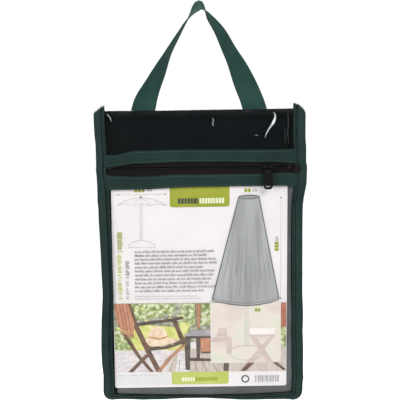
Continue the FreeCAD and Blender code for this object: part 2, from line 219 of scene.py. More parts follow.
# Distance along a line at each of its points.
def runLength(line):
    steps = np.linalg.norm(np.diff(line, axis=0), axis=1)
    return np.concatenate([[0], np.cumsum(steps)])


# Smooth curve through knots; columns after the third, such as a twist, follow along.
def throughKnots(knots, count):
    knots = np.asarray(knots, float)
    spots = runLength(knots[:, :3])
    slopes = np.gradient(knots, spots, axis=0)
    at = np.linspace(0, spots[-1], count)
    i = np.clip(np.searchsorted(spots, at, "right") - 1, 0, len(knots) - 2)
    wide = (spots[i + 1] - spots[i])[:, None]
    t = (at - spots[i])[:, None] / wide
    return ((2 * t ** 3 - 3 * t ** 2 + 1) * knots[i] + (t ** 3 - 2 * t ** 2 + t) * wide * slopes[i]
            + (3 * t ** 2 - 2 * t ** 3) * knots[i + 1] + (t ** 3 - t ** 2) * wide * slopes[i + 1])


# making meshes
class Cloth:
    def __init__(self):
        self.points, self.faces, self.maps, self.inks = [], [], [], []

    # Closed loft of rings; every ring is an outline that doubles back on itself.
    def loft(self, rings, weave=None):
        rings = np.asarray(rings, float)
        count, size = rings.shape[:2]
        start = sum(len(p) for p in self.points)
        self.points.append(rings.reshape(-1, 3))
        if weave is None:
            widths = np.linalg.norm(np.diff(rings, axis=1, append=rings[:, :1]), axis=2)
            across = np.concatenate([[0], np.cumsum(widths.mean(0))])
            steps = np.linalg.norm(np.diff(rings, axis=0), axis=2).mean(1)
            down = np.concatenate([[0], np.cumsum(steps)])

        def uv(r, i):
            return (across[i], down[r]) if weave is None else tuple(weave[r, i % size])

        for r in range(count - 1):
            for i in range(size):
                j = (i + 1) % size
                a, b = start + r * size, start + (r + 1) * size
                self.faces.append((a + i, a + j, b + j, b + i))
                self.maps.append((uv(r, i), uv(r, i + 1), uv(r + 1, i + 1), uv(r + 1, i)))
        for r, back in ((0, True), (count - 1, False)):
            a = start + r * size
            for i in range(size // 2 - 1):
                face = [i, i + 1, size - 2 - i, size - 1 - i]
                if back:
                    face.reverse()
                self.faces.append(tuple(a + k for k in face))
                self.maps.append(tuple(uv(r, k) for k in face))
        self.inks += [0] * (len(self.faces) - len(self.inks))

    # Flat shape with straight sides, such as a printed patch.
    def slab(self, outline, toSpace, low, high, ink=0):
        start = sum(len(p) for p in self.points)
        size = len(outline)
        turn = sum(a[0] * b[1] - b[0] * a[1] for a, b in zip(outline, outline[1:] + outline[:1]))
        if turn < 0:
            outline = outline[::-1]
        self.points.append(np.array([toSpace(x, z, level) for level in (low, high)
                                     for x, z in outline]))
        self.faces.append(tuple(start + i for i in reversed(range(size))))
        self.maps.append(tuple(outline[i] for i in reversed(range(size))))
        self.faces.append(tuple(start + size + i for i in range(size)))
        self.maps.append(tuple(outline))
        for i in range(size):
            j = (i + 1) % size
            self.faces.append((start + i, start + j, start + size + j, start + size + i))
            self.maps.append((outline[i], outline[j], outline[j], outline[i]))
        self.inks += [ink] * (size + 2)

    def piece(self, name, materials, body="bag", crease=40):
        mesh = bpy.data.meshes.new(name)
        points = np.concatenate(self.points) * mm
        mesh.from_pydata(points.tolist(), [], self.faces)
        layer = mesh.uv_layers.new(name="weave")
        layer.data.foreach_set("uv", np.array([c for m in self.maps for uv in m for c in uv]))
        materials = materials if isinstance(materials, list) else [materials]
        for material in materials:
            mesh.materials.append(material)
        mesh.polygons.foreach_set("material_index", self.inks)
        mesh.polygons.foreach_set("use_smooth", [True] * len(self.faces))
        mesh.update()
        mesh.set_sharp_from_angle(angle=math.radians(crease))
        thing = bpy.data.objects.new(name, mesh)
        bpy.context.scene.collection.objects.link(thing)
        if body:
            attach(thing, body)
        return thing


def stand(thing, slot, *nodes):
    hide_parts(*nodes)
    return thing


# finishes
def srgb(r, g, b):
    return tuple(c / 255 / 12.92 if c <= 10 else ((c / 255 + 0.055) / 1.055) ** 2.4
                 for c in (r, g, b)) + (1.0,)


def add(tree, kind, inputs=None, **settings):
    made = tree.nodes.new("ShaderNode" + kind)
    for key, value in settings.items():
        setattr(made, key, value)
    for key, value in (inputs or {}).items():
        if isinstance(value, bpy.types.NodeSocket):
            tree.links.new(value, made.inputs[key])
        else:
            made.inputs[key].default_value = value
    return made


def sums(tree, operation, *values):
    return add(tree, "Math", dict(enumerate(values)), operation=operation).outputs[0]


def blendColour(tree, factor, first, second):
    return add(tree, "Mix", {0: factor, 6: first, 7: second}, data_type="RGBA").outputs[2]


def rescale(tree, value, low, high, start=0.0, end=1.0):
    return add(tree, "MapRange", {"Value": value, "From Min": start, "From Max": end,
                                  "To Min": low, "To Max": high}).outputs[0]


# Join colour, relief and roughness to the shader.
def dress(tree, shader, colour, height, strength, deep, rough=None):
    bump = add(tree, "Bump", {"Height": height, "Strength": strength, "Distance": deep})
    wires = {"Base Color": colour, "Normal": bump.outputs[0]}
    if rough:
        wires["Roughness"] = rough
    for key, socket in wires.items():
        tree.links.new(socket, shader.inputs[key])


def startFinish(name, settings):
    material = bpy.data.materials.new(name)
    material.use_nodes = True
    tree = material.node_tree
    shader = tree.nodes["Principled BSDF"]
    for key, value in settings.items():
        shader.inputs[key].default_value = value
    return material, tree, shader


def fleck(tree, scale, detail=4, where=None, stretch=None):
    if where is None:
        where = add(tree, "TexCoord").outputs["Object"]
    if stretch:
        where = add(tree, "Mapping", {"Vector": where, "Scale": stretch}).outputs[0]
    return add(tree, "TexNoise", {"Vector": where, "Scale": scale, "Detail": detail}).outputs[0]


weaving = {"yarnFleck": 900, "fleckShare": 0.35, "patchShare": 0.9, "patchShift": -0.32}


# Woven cloth or tape: crossing yarns with their own relief, faded in soft patches.
def wovenFinish(name, look):
    material, tree, shader = startFinish(name, {
        "Roughness": look.get("roughness", 0.85), "Sheen Weight": look.get("sheen", 0.02),
        "Sheen Roughness": 0.4, "Specular IOR Level": look.get("shine", 0.1)})
    split = add(tree, "SeparateXYZ", {"Vector": add(tree, "UVMap", uv_map="weave").outputs[0]})
    across = sums(tree, "SINE", sums(tree, "MULTIPLY", split.outputs[0],
                                     math.pi / look["yarn"][0]))
    down = sums(tree, "SINE", sums(tree, "MULTIPLY", split.outputs[1],
                                   math.pi / look["yarn"][1]))
    over = sums(tree, "GREATER_THAN", sums(tree, "MULTIPLY", across, down), 0)
    relief = add(tree, "Mix", {0: over, 2: sums(tree, "ABSOLUTE", down),
                               3: sums(tree, "ABSOLUTE", across)}).outputs[0]
    patch = fleck(tree, look.get("patchScale", 30))
    yarns = fleck(tree, weaving["yarnFleck"], 2)
    mix = sums(tree, "ADD", sums(tree, "MULTIPLY", relief, look.get("yarnTone", 0.45)),
               sums(tree, "MULTIPLY", yarns, weaving["fleckShare"]))
    mix = sums(tree, "ADD", mix, sums(tree, "MULTIPLY_ADD", patch, weaving["patchShare"],
                                      weaving["patchShift"]))
    colour = blendColour(tree, mix, srgb(*look["dark"]), srgb(*look["light"]))
    if "folds" in look:      # painted shade by distance from the inner edge: the inner strip and the sunk seam are darkened where shade falls
        reach = look["folds"][-1][0]
        ramp = add(tree, "ValToRGB", {"Fac": sums(tree, "DIVIDE", split.outputs[0], reach)})
        stops = ramp.color_ramp.elements
        for k, (spot, shade) in enumerate(look["folds"]):
            stop = stops[k] if k < 2 else stops.new(1.0)
            stop.position, stop.color = spot / reach, (shade, shade, shade, 1)
        colour = blendColour(tree, ramp.outputs[0], (0.0, 0.0, 0.0, 1), colour)
    dress(tree, shader, colour, relief, look.get("relief", 0.5), 0.0002)
    return material


# Clear soft film: lets everything through, with a faint skin of shine and light scuffs.
def filmFinish(name, look):
    material, tree, shader = startFinish(name, {})
    tree.nodes.remove(shader)
    scuff = fleck(tree, look["scuffScale"], 6, stretch=(1, 1, 0.35))
    rough = rescale(tree, scuff, look["smooth"], look["smooth"] + 0.12, 0.35, 0.7)
    bump = add(tree, "Bump", {"Height": fleck(tree, 26, 2), "Strength": 0.25, "Distance": 0.001})
    gloss = add(tree, "BsdfGlossy", {"Color": (1, 1, 1, 1), "Roughness": rough,
                                     "Normal": bump.outputs[0]})
    through = add(tree, "BsdfTransparent", {"Color": look["tint"]})
    skin = sums(tree, "MULTIPLY", add(tree, "Fresnel", {"IOR": 1.45}).outputs[0], look["shine"])
    mixed = add(tree, "MixShader", {0: skin, 1: through.outputs[0], 2: gloss.outputs[0]})
    haze = add(tree, "BsdfDiffuse", {"Color": look["hazeColour"]})
    veil = rescale(tree, scuff, look["haze"] * 0.3, look["haze"], 0.45, 0.8)
    final = add(tree, "MixShader", {0: veil, 1: mixed.outputs[0], 2: haze.outputs[0]})
    tree.links.new(final.outputs[0], tree.nodes["Material Output"].inputs[0])
    return material


# Hard coloured surface with handling marks: enamel, steel, coil and board.
def hardFinish(name, look):
    material, tree, shader = startFinish(name, {
        "Metallic": look.get("metal", 0.0), "Specular IOR Level": look.get("shine", 0.5),
        "Coat Weight": look.get("coat", 0.0), "Coat Roughness": 0.15})
    wear = fleck(tree, look["grain"], 5)
    colour = blendColour(tree, wear, srgb(*look["dark"]), srgb(*look["light"]))
    dress(tree, shader, colour, fleck(tree, look["grain"] * 3, 3), 0.15, 0.0002,
          rescale(tree, wear, *look["rough"]))
    return material


# Ink on card, slightly uneven, in two or more tones that change in soft patches.
def inkFinish(name, tones, scale, stretch=None, reach=(0.35, 0.65)):
    material, tree, shader = startFinish(name, {"Specular IOR Level": 0.3})
    ramp = add(tree, "ValToRGB", {"Fac": fleck(tree, scale, 5, stretch=stretch)})
    low, high = reach
    stops = ramp.color_ramp.elements
    stops[0].position, stops[1].position = low, high
    stops[0].color, stops[1].color = srgb(*tones[0]), srgb(*tones[-1])
    for i, tone in enumerate(tones[1:-1], 1):
        stops.new(low + (high - low) * i / (len(tones) - 1)).color = srgb(*tone)
    fibre = fleck(tree, 700, 3)
    colour = blendColour(tree, sums(tree, "MULTIPLY", fibre, 0.08), ramp.outputs[0],
                         (0.25, 0.25, 0.25, 1))
    dress(tree, shader, colour, fibre, 0.08, 0.0001, rescale(tree, fibre, 0.45, 0.6))
    return material


finish = {
    "webbing": wovenFinish("green_webbing", {
        "dark": (23, 46, 42), "light": (43, 73, 67), "yarn": (0.9, 1.3), "relief": 0.4,
        "yarnTone": 0.55}),
    "tape": wovenFinish("green_tape", {
        "dark": (21, 35, 34), "light": (40, 58, 55), "yarn": (0.7, 0.7), "relief": 0.4,
        # folds: painted shade, the inner strip and the sunk seam beside it darkened
        "folds": [(0.0, 1.0), (0.7, 1.0), (1.2, 0.62), (2.9, 0.66), (3.5, 0.22), (4.3, 0.3),
                  (5.2, 1.0), (12.0, 1.0)]}),
    "band": wovenFinish("green_band", {
        "dark": (20, 34, 32), "light": (36, 54, 51), "yarn": (0.6, 1.0), "relief": 0.4,
        # folds: painted shade, darker lines along both stitch grooves
        "folds": [(0.0, 1.0), (1.3, 1.0), (1.9, 0.62), (2.6, 1.0), (9.9, 1.0), (10.6, 0.66),
                  (11.3, 1.0), (12.0, 1.0)]}),
    "backCloth": wovenFinish("dark_cloth", {
        "dark": (8, 12, 15), "light": (17, 24, 27), "yarn": (0.6, 0.6), "relief": 0.15,
        "sheen": 0.0, "shine": 0.03}),
    "zipTape": wovenFinish("black_zip_tape", {
        "dark": (16, 14, 13), "light": (33, 30, 29), "yarn": (0.5, 1.1), "relief": 0.4,
        "sheen": 0.0, "shine": 0.05}),
    "greyCloth": wovenFinish("grey_cloth", {
        "dark": (74, 77, 79), "light": (114, 116, 119), "yarn": (0.5, 0.5), "relief": 0.2}),
    "thread": wovenFinish("green_thread", {
        "dark": (44, 66, 61), "light": (74, 100, 94), "yarn": (0.3, 0.3), "relief": 0.3}),
    "film": filmFinish("clear_vinyl", {
        "scuffScale": 22, "smooth": 0.1, "shine": 0.13, "tint": (0.985, 0.988, 0.985, 1),
        "haze": 0.003, "hazeColour": (0.8, 0.82, 0.84, 1)}),
    "hemFilm": filmFinish("hem_film", {
        "scuffScale": 60, "smooth": 0.15, "shine": 0.16, "tint": (0.8, 0.82, 0.83, 1),
        "haze": 0.05, "hazeColour": (0.2, 0.21, 0.215, 1)}),
    # painted highlight: the creases are real ridges, and their white diffuse colour stands in for
    # glare on the vinyl
    "crease": filmFinish("creased_vinyl_painted_glare", {
        "scuffScale": 160, "smooth": 0.2, "shine": 0.6, "tint": (1, 1, 1, 1),
        "haze": 1.0, "hazeColour": (0.85, 0.87, 0.88, 1)}),
    "coil": hardFinish("black_coil", {
        "dark": (15, 14, 14), "light": (30, 28, 28), "grain": 400, "rough": (0.4, 0.6),
        "shine": 0.2}),
    "enamel": hardFinish("black_enamel", {
        "dark": (8, 9, 9), "light": (17, 18, 18), "grain": 500, "rough": (0.4, 0.6),
        "shine": 0.12, "coat": 0.02}),
    "steel": hardFinish("dark_steel", {
        "dark": (30, 31, 32), "light": (78, 79, 80), "grain": 700, "rough": (0.3, 0.5),
        "metal": 1.0}),
    "board": hardFinish("stiffener_board", {
        "dark": (8, 11, 13), "light": (17, 21, 23), "grain": 300, "rough": (0.7, 0.9),
        "shine": 0.05}),
}
print("finishes:", len(finish))


# camera, light and floor
studio = {
    "target": (0, midY * mm, -0.231), "distance": 0.94, "elevation": 11, "roll": 0.6,
    "lens": 70.84,
    "key": {"from": (0.9, -1.3, 1.1), "size": 1.0, "power": 35},
    "fill": {"from": (-1.4, -1.2, 0.5), "size": 1.2, "power": 24.5},
    "top": {"from": (0.1, 0.7, 1.2), "size": 0.9, "power": 17},
    "behind": {"from": (-0.6, 1.6, 0.4), "size": 1.2, "power": 13},
    "lampsAim": (0, 0, -0.28), "ambient": 0.26, "skySeen": 1.05,
    "floorBelow": 0.52, "floorRadius": 1.7, "floorBack": 0.6, "floorGlow": 0.75,
}


def setCamera():
    tilt, roll = math.radians(studio["elevation"]), math.radians(studio["roll"])
    back = Vector((0, -math.cos(tilt), math.sin(tilt)))
    level, rise = Vector((1, 0, 0)), Vector((0, math.sin(tilt), math.cos(tilt)))
    right = level * math.cos(roll) - rise * math.sin(roll)
    up = rise * math.cos(roll) + level * math.sin(roll)
    spot = Vector(studio["target"]) + back * studio["distance"]
    camera = bpy.data.objects.new("camera", bpy.data.cameras.new("camera"))
    camera.data.lens, camera.data.sensor_width = studio["lens"], 36
    camera.data.clip_start = 0.01
    camera.matrix_world = Matrix([[right[i], up[i], back[i], spot[i]] for i in range(3)]
                                 + [[0, 0, 0, 1]])
    bpy.context.scene.collection.objects.link(camera)
    bpy.context.scene.camera = camera


def setLight(name):
    wanted = studio[name]
    lamp = bpy.data.lights.new(name, "AREA")
    lamp.energy, lamp.size = wanted["power"], wanted["size"]
    holder = bpy.data.objects.new(name + "_light", lamp)
    holder.location = wanted["from"]
    toBag = Vector(studio["lampsAim"]) - holder.location
    holder.rotation_mode = "QUATERNION"
    holder.rotation_quaternion = toBag.to_track_quat("-Z", "Y")
    bpy.context.scene.collection.objects.link(holder)


def setFloor():
    cloth = bpy.data.meshes.new("studio_floor")
    level, wide = lowZ * mm - studio["floorBelow"], studio["floorRadius"]
    rim = [(wide * math.cos(a * math.pi / 24),
            studio["floorBack"] + wide * math.sin(a * math.pi / 24), level) for a in range(48)]
    cloth.from_pydata(rim, [], [tuple(range(48))])
    material, tree, shader = startFinish("pale_floor", {"Roughness": 0.9})
    tone = blendColour(tree, fleck(tree, 3), (0.86, 0.86, 0.86, 1), (0.9, 0.9, 0.9, 1))
    tree.links.new(tone, shader.inputs["Base Color"])
    shader.inputs["Emission Color"].default_value = (1, 1, 1, 1)
    shader.inputs["Emission Strength"].default_value = studio["floorGlow"]
    cloth.materials.append(material)
    floor = bpy.data.objects.new("studio_floor", cloth)
    bpy.context.scene.collection.objects.link(floor)


def setWorld():
    world = bpy.data.worlds.new("studio")
    bpy.context.scene.world = world
    world.use_nodes = True
    tree = world.node_tree
    seen = add(tree, "LightPath").outputs["Is Camera Ray"]
    strength = rescale(tree, seen, studio["ambient"], studio["skySeen"])
    backdrop = tree.nodes["Background"]
    backdrop.inputs[0].default_value = (1, 1, 1, 1)
    tree.links.new(strength, backdrop.inputs[1])
    bpy.context.scene.view_settings.view_transform = "Standard"


setCamera()
for lampName in ("key", "fill", "top", "behind"):
    setLight(lampName)
setFloor()
setWorld()
print("studio set")


# panels
# Outline of y and z standing across the bag at x, hung like everything else.
def acrossAt(x, outline):
    return drape(np.concatenate([np.full((len(outline), 1), x), outline], 1))


# Sheet on one face of the bag between two distances out from it, with optional wrinkles.
def faceSheet(side, xs, zs, inner, outer, seed=None, wrinkle=0.0):
    rings, weave = [], []
    for x in xs:
        wave = wrinkle * ripple(seed, 60, zs, np.full_like(zs, x)) if seed else 0
        rings.append(ringOn(side, x, zs, inner + wave, outer + wave))
        weave.append([(x, z) for z in thereAndBack(zs)])
    return np.array(rings), np.array(weave)


panels = {"sideAllowance": 8.5, "columns": 46, "clothWrinkle": 0.5, "filmWrinkle": 0.25,
          "flapEnd": 1.6}


def spread(low, high, step):
    return np.linspace(low, high, max(2, int(abs(high - low) / step) + 1))


def makePanels():
    reach = seamX + panels["sideAllowance"]
    xs = np.linspace(-reach, reach, panels["columns"])
    inner = np.linspace(-seamX, seamX, panels["columns"])
    flap = spread(bottomZ - 0.05, lowZ + panels["flapEnd"], 3)       # part under the lower binding
    back = Cloth()
    back.loft(*faceSheet(1, xs, spread(hemZ, bottomZ, 6), -clothThick, 0, 11,
                         panels["clothWrinkle"]))
    back.loft(*faceSheet(1, inner, flap, -clothThick, 0))
    stand(back.piece("back_panel_cloth", finish["backCloth"]), "dark_green_cloth", "back_panel")
    strip = Cloth()
    strip.loft(*faceSheet(-1, xs, spread(hemZ, place("upper_front_panel")[0][2], 4),
                          -filmThick, 0, 12, panels["filmWrinkle"]))
    stand(strip.piece("upper_clear_strip", finish["film"]), "clear_vinyl", "upper_front_panel")
    window = Cloth()
    window.loft(*faceSheet(-1, xs, spread(place("front_window")[1][2], bottomZ, 6),
                           -filmThick, 0, 13, panels["filmWrinkle"]))
    window.loft(*faceSheet(-1, inner, flap, -filmThick, 0))
    stand(window.piece("clear_window", finish["film"]), "clear_vinyl", "front_window")


gussets = {
    "pinch": 0.35, "wallIn": 0.35, "flange": 8.0, "sag": 1.6, "underFront": 0.8, "underRear": 0.9,
    # bottom wall: heights of its turned edges, and its distances from the front and below the bag
    "edgeUp": (3, 6), "edgeBelow": 1.5, "floorFront": 1.4, "floorRoom": 2.9, "floorBelow": 0.5,
}


def makeSideGusset(side):
    hand, inset = "right" if side > 0 else "left", gussets["wallIn"]
    body = Cloth()
    rings, weave = [], []
    for z in spread(hemZ, bottomZ, 7):
        depth = float(depthAt(edgeX, z))
        front, rear = midY - depth + gussets["underFront"], midY + depth - gussets["underRear"]
        pinch = gussets["pinch"] * (depth - hemDepth) / (fullDepth - hemDepth)
        pinch *= 1 + 0.35 * float(ripple(21 + side, 80, z))
        part = np.linspace(0, 1, 15)
        wallY = front + inset + (rear - front - 2 * inset) * part
        wallX = seamX + inset - pinch * (1 - (2 * part - 1) ** 2) * (1 - 0.25 * np.cos(6 * part))
        line = np.concatenate([
            [(seamX + gussets["flange"], front), (seamX + 3, front), (seamX + 1, front + 0.05)],
            np.stack([wallX, wallY], 1),
            [(seamX + 1, rear - 0.05), (seamX + 3, rear), (seamX + gussets["flange"], rear)]])
        outline = stripOutline(line, clothThick)
        rings.append(drape(np.stack([side * outline[:, 0], outline[:, 1],
                                     np.full(len(outline), z)], 1)))
        weave.append([(u, z) for u in thereAndBack(runLength(line))])
    body.loft(rings, np.array(weave))
    stand(body.piece("side_gusset_" + hand, finish["backCloth"]), "dark_green_cloth",
          "gusset_" + hand)


def makeBottomGusset():
    body = Cloth()
    rings, weave = [], []
    low = np.array([lowZ + up for up in gussets["edgeUp"]] + [bottomZ - gussets["edgeBelow"]])
    for x in np.linspace(-seamX, seamX, 40):
        front = onFace(-1, x, low, -gussets["underFront"])[:, 1:]
        rear = onFace(1, x, low[::-1], -gussets["underRear"])[:, 1:]
        part = np.linspace(0, 1, 13)
        wallY = frontY + gussets["floorFront"] + (backY - frontY - gussets["floorRoom"]) * part
        sag = gussets["sag"] * (1 - (2 * part - 1) ** 2) * (1 - (x / seamX) ** 2)
        wall = np.stack([wallY, bottomZ - gussets["floorBelow"] - sag], 1)
        line = np.concatenate([front, wall, rear])
        outline = stripOutline(line, clothThick)
        rings.append(acrossAt(x, outline))
        weave.append([(u, x) for u in thereAndBack(runLength(line))])
    body.loft(rings, np.array(weave))
    stand(body.piece("bottom_gusset_cloth", finish["backCloth"]), "dark_green_cloth",
          "gusset_bottom")


makePanels()
makeSideGusset(-1)
makeSideGusset(1)
makeBottomGusset()
print("panels and gussets made")


# tapes sewn over the edges
tape = {"wobble": 0.12, "wobbleLength": 26, "pucker": 0.35, "puckerTurns": 1.7}


# Tape laid along a path of x, z and sideways direction; its section is (across, out).
def layTape(body, side, path, section, thick, endShape=None, reach=None):
    outline = stripOutline(section, thick)
    rings, weave = [], []
    run = 0.0
    width = thereAndBack(runLength(section))
    for i, (x, z, nx, nz) in enumerate(path):
        across, out = outline[:, 0], outline[:, 1]
        if reach:
            grow = along(reach[nx > 0], hemZ - z) * abs(nx)
            across = across * (1 + grow / tapeWidth) - grow
        if i:
            run += math.hypot(x - path[i - 1][0], z - path[i - 1][1])
        wobble = tape["wobble"] * ripple(31 + side, tape["wobbleLength"], run, across)
        if nx and nz:       # puckers where the tape turns the corner
            pucker = tape["pucker"] * np.sin(run * tape["puckerTurns"])
            wobble = wobble + pucker * easeBetween(12, 3, across)
        px, pz = x + nx * across, z + nz * across
        if endShape:
            pz = pz + endShape(i, across)
        rings.append(drape(onFace(side, px, pz, out + wobble)))
        weave.append(np.stack([width, np.full(len(width), run)], 1))
    body.loft(rings, np.array(weave))


binding = {
    "thick": 0.8, "corner": 2.0, "slantOver": 20.0, "ragged": 0.45,
    "section": [(0.1, 0.5), (0.8, 0.6), (1.6, 0.56), (2.4, 0.44), (3.2, 0.46), (3.7, 0.8),
                (4.3, 1.35), (5.3, 1.85), (7, 2.05), (8.8, 1.9), (10.4, 1.45), (11.5, 0.7),
                (12.0, -0.35), (11.6, -1.3), (10.6, -1.8), (9, -2.0), (7, -2.05), (5, -1.95),
                (3.6, -1.65), (2.4, -1.5), (1.4, -1.52), (0.7, -1.55)],
    # how far the inner edge reaches in past the seam, by distance below the top edge
    "reachLeft": [(0, 0.2), (82, 0.2), (92, 2.3), (200, 2.2), (340, 1.4), (400, 1.0)],
    "reachRight": [(0, 1.8), (60, 1.5), (100, 1.0), (150, 0.6), (400, 0.4)],
    # height of the cut ends above the top edge, from the seam outward
    "leftEar": [(0, 5.6), (4, 3.6), (12.5, -2.6)],
    "rightEar": [(0, 6.2), (6.6, 2.6), (12.5, -5.6)],
}


def bindingPath():
    radius = binding["corner"]
    leftSide = [(-seamX, z, -1, 0) for z in spread(hemZ, bottomZ + radius, 5)]
    turnX, turnZ = seamX - radius, bottomZ + radius
    for step in range(1, 10):
        a = step * math.pi / 20
        leftSide.append((-turnX - radius * math.cos(a), turnZ - radius * math.sin(a),
                         -math.cos(a), -math.sin(a)))
    bottom = [(x, bottomZ, 0, -1) for x in spread(-turnX, turnX, 6)]
    return leftSide + bottom + [(-x, z, -nx, nz) for x, z, nx, nz in reversed(leftSide)]


def makeBinding(side):
    path = bindingPath()
    last = len(path) - 1
    rng = random.Random(40 + side)
    rough = [(a, rng.uniform(-1, 1) * binding["ragged"]) for a in np.linspace(0, 12.6, 12)]

    def ears(i, across):
        below = hemZ - path[i][1]
        fade = max(0.0, 1 - below / binding["slantOver"])
        if not fade:
            return 0.0
        table = binding["leftEar"] if i < last / 2 else binding["rightEar"]
        return (along(table, across) + along(rough, across) * fade ** 4) * fade

    body = Cloth()
    layTape(body, side, path, np.array(binding["section"]), binding["thick"], ears,
            (binding["reachLeft"], binding["reachRight"]))
    face = "front" if side < 0 else "back"
    piece = body.piece(face + "_binding_tape", finish["tape"])
    stand(piece, "green_tape", *[f"{face}_binding_{part}" for part in ("left", "right", "bottom")])


makeBinding(-1)
makeBinding(1)


frays = {"perEar": 26, "radius": 0.11, "length": (0.8, 2.6), "buried": 0.8}


# Thin six-sided strand through points.
def strand(body, points, radius):
    run = directions(points)
    side = np.cross(run, (0.31, 0.85, 0.42))
    side /= np.linalg.norm(side, axis=1)[:, None]
    up = np.cross(run, side)
    angles = 2 * math.pi * (np.arange(6) + 0.5) / 6
    taper = np.ones(len(points)) * radius
    taper[0] *= 0.6
    taper[-1] *= 0.6
    body.loft(points[:, None] + taper[:, None, None] * (
        np.cos(angles)[None, :, None] * side[:, None]
        + np.sin(angles)[None, :, None] * up[:, None]))


def makeFrays():
    rng = random.Random(77)
    body = Cloth()
    for face in (-1, 1):
        for side, table in ((-1, binding["leftEar"]), (1, binding["rightEar"])):
            for _ in range(frays["perEar"]):
                across = rng.uniform(0.3, 12.2)
                foot = hemZ + float(along(table, across)) - frays["buried"]
                tall = rng.uniform(*frays["length"]) + frays["buried"]
                out = float(np.interp(across, (0, 7, 12.5), (0.5, 1.1, 0.1))) + rng.uniform(-2, 0)
                lean, curl = rng.uniform(-0.5, 0.5), rng.uniform(-0.8, 0.8)
                steps = np.linspace(0, 1, 4)
                x = side * (seamX + across) + lean * tall * steps
                spot = onFace(face, x, foot + tall * steps, out)
                spot[:, 1] += curl * steps ** 2
                strand(body, drape(spot), frays["radius"])
    body.piece("binding_frays", finish["thread"])


makeFrays()


bands = {
    "thick": 0.7,
    "section": [(0.1, 0.36), (0.9, 0.42), (1.8, 0.34), (2.6, 0.5), (6.3, 0.66), (9.9, 0.5),
                (10.8, 0.34), (11.6, 0.42), (12.2, 0.1), (12.36, -0.25), (12.2, -0.62),
                (11.4, -0.86), (8, -0.88), (4, -0.88), (1, -0.88)],
}


def makeBands():
    section = np.array(bands["section"])
    for name, z, way in (("upper", kneeZ, -1), ("lower", windowTopZ, 1)):
        body = Cloth()
        path = [(x, z, 0, way) for x in np.linspace(-seamX - 0.6, seamX + 0.6, 60)]
        layTape(body, -1, path, section, bands["thick"])
        stand(body.piece(f"zip_band_{name}_tape", finish["band"]), "green_tape",
              f"zip_band_{name}")


makeBands()
print("bindings and bands made")


# top edge
hemEdge = {"legHeight": 3.4, "legSplay": 0.25, "thick": 0.4, "dip": 0.25, "crown": 0.5}


def makeHem():
    body = Cloth()
    rings = []
    thick = hemEdge["thick"]
    half = hemDepth + thick / 2
    for x in np.linspace(-seamX, seamX, 60):
        dip = hemEdge["dip"] * float(ripple(51, 50, x))
        leg = [(midY - half - hemEdge["legSplay"] * k, hemZ - hemEdge["legHeight"] * k + dip * k)
               for k in (1.0, 0.6, 0.3)]
        arc = [(midY - half * math.cos(a),
                hemZ + 0.1 + hemEdge["crown"] * math.sin(a) + dip * 0.4)
               for a in np.linspace(0, math.pi * 0.93, 9)]
        outline = stripOutline(np.array(leg + arc), thick)
        rings.append(acrossAt(x, outline))
    body.loft(rings)
    stand(body.piece("hem_edge_film", finish["hemFilm"]), "hem_film", "top_hem_tape")
    low, high = place("hem_stiffener")
    board = Cloth()
    y = (low[1] + high[1]) / 2
    line = np.array([(y, z) for z in np.linspace(high[2] - 0.15, low[2], 6)])
    outline = stripOutline(line, high[1] - low[1] - 0.2)
    board.loft([acrossAt(x, outline) for x in np.linspace(low[0], high[0], 50)])
    stand(board.piece("hem_board", finish["board"]), "stiffener_board", "hem_stiffener")


makeHem()


# zip
zipper = {
    "tapeOut": (-1.8, -1.2), "pitch": 1.25, "wire": 0.27,
    # end of the tape brought out over the right binding: where it starts and ends past the
    # seam, how far it stands above and below the coil there, and how much it narrows
    "flap": {"start": -3.5, "end": 4.6, "above": 4.6, "below": 7.4, "narrowTop": 4.2,
             "narrowLow": 3.2, "out": 1.3, "rise": 1.2, "thick": 0.5},
}


def makeZip():
    for way, name in ((1, "upper"), (-1, "lower")):
        low, high = place(f"zip_tape_{name}")
        body = Cloth()
        body.loft(*faceSheet(-1, np.linspace(low[0], high[0], 60), spread(high[2], low[2], 1.5),
                             *zipper["tapeOut"]))
        stand(body.piece(f"zip_tape_{name}_cloth", finish["zipTape"]), "black_zip_tape",
              f"zip_tape_{name}")
        low, high = place(f"zip_coil_{name}")
        tall, deep = (high[2] - low[2]) / 2 - zipper["wire"], (high[1] - low[1]) / 2 - 0.25
        turns = (high[0] - low[0]) / zipper["pitch"]
        at = np.linspace(0, turns, int(turns * 9))
        angle = 2 * math.pi * at * way
        spiral = np.stack([low[0] + at * zipper["pitch"],
                           (low[1] + high[1]) / 2 + deep * np.sin(angle),
                           (low[2] + high[2]) / 2 + tall * np.cos(angle)], 1)
        coil = Cloth()
        strand(coil, drape(spiral), zipper["wire"])
        stand(coil.piece(f"zip_coil_{name}_spiral", finish["coil"]), "black_coil",
              f"zip_coil_{name}")


def makeEndFlap():
    look = zipper["flap"]
    body = Cloth()
    rings = []
    for part in np.linspace(0, 1, 14):
        x = seamX + look["start"] + (look["end"] - look["start"]) * part
        top = zipZ + look["above"] - look["narrowTop"] * part ** 2
        low = zipZ - look["below"] + look["narrowLow"] * part ** 2
        zs = np.linspace(top, low, 9)
        base = look["out"] + look["rise"] * float(easeBetween(0.2, 0.8, part))
        rings.append(ringOn(-1, x, zs, base, base + look["thick"]))
    body.loft(rings)
    body.piece("zip_end_flap", finish["zipTape"])


makeZip()
makeEndFlap()


# metal parts keep their own shape
hardware = {"slider_body": "enamel", "slider_bail": "steel", "pull_link": "enamel",
            "pull_rivet": "steel", "pull_tab": "enamel", "zip_stop_left": "coil",
            "zip_stop_right": "coil"}
softening = {"width": 0.00018, "segments": 2, "sharperThan": 40}
for nodeName, finishName in hardware.items():
    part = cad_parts[nodeName]
    part.material_slots[0].material = finish[finishName]
    softer = part.modifiers.new("softened_edges", "BEVEL")
    softer.width, softer.segments = softening["width"], softening["segments"]
    softer.limit_method, softer.angle_limit = "ANGLE", math.radians(softening["sharperThan"])
print("zip made")


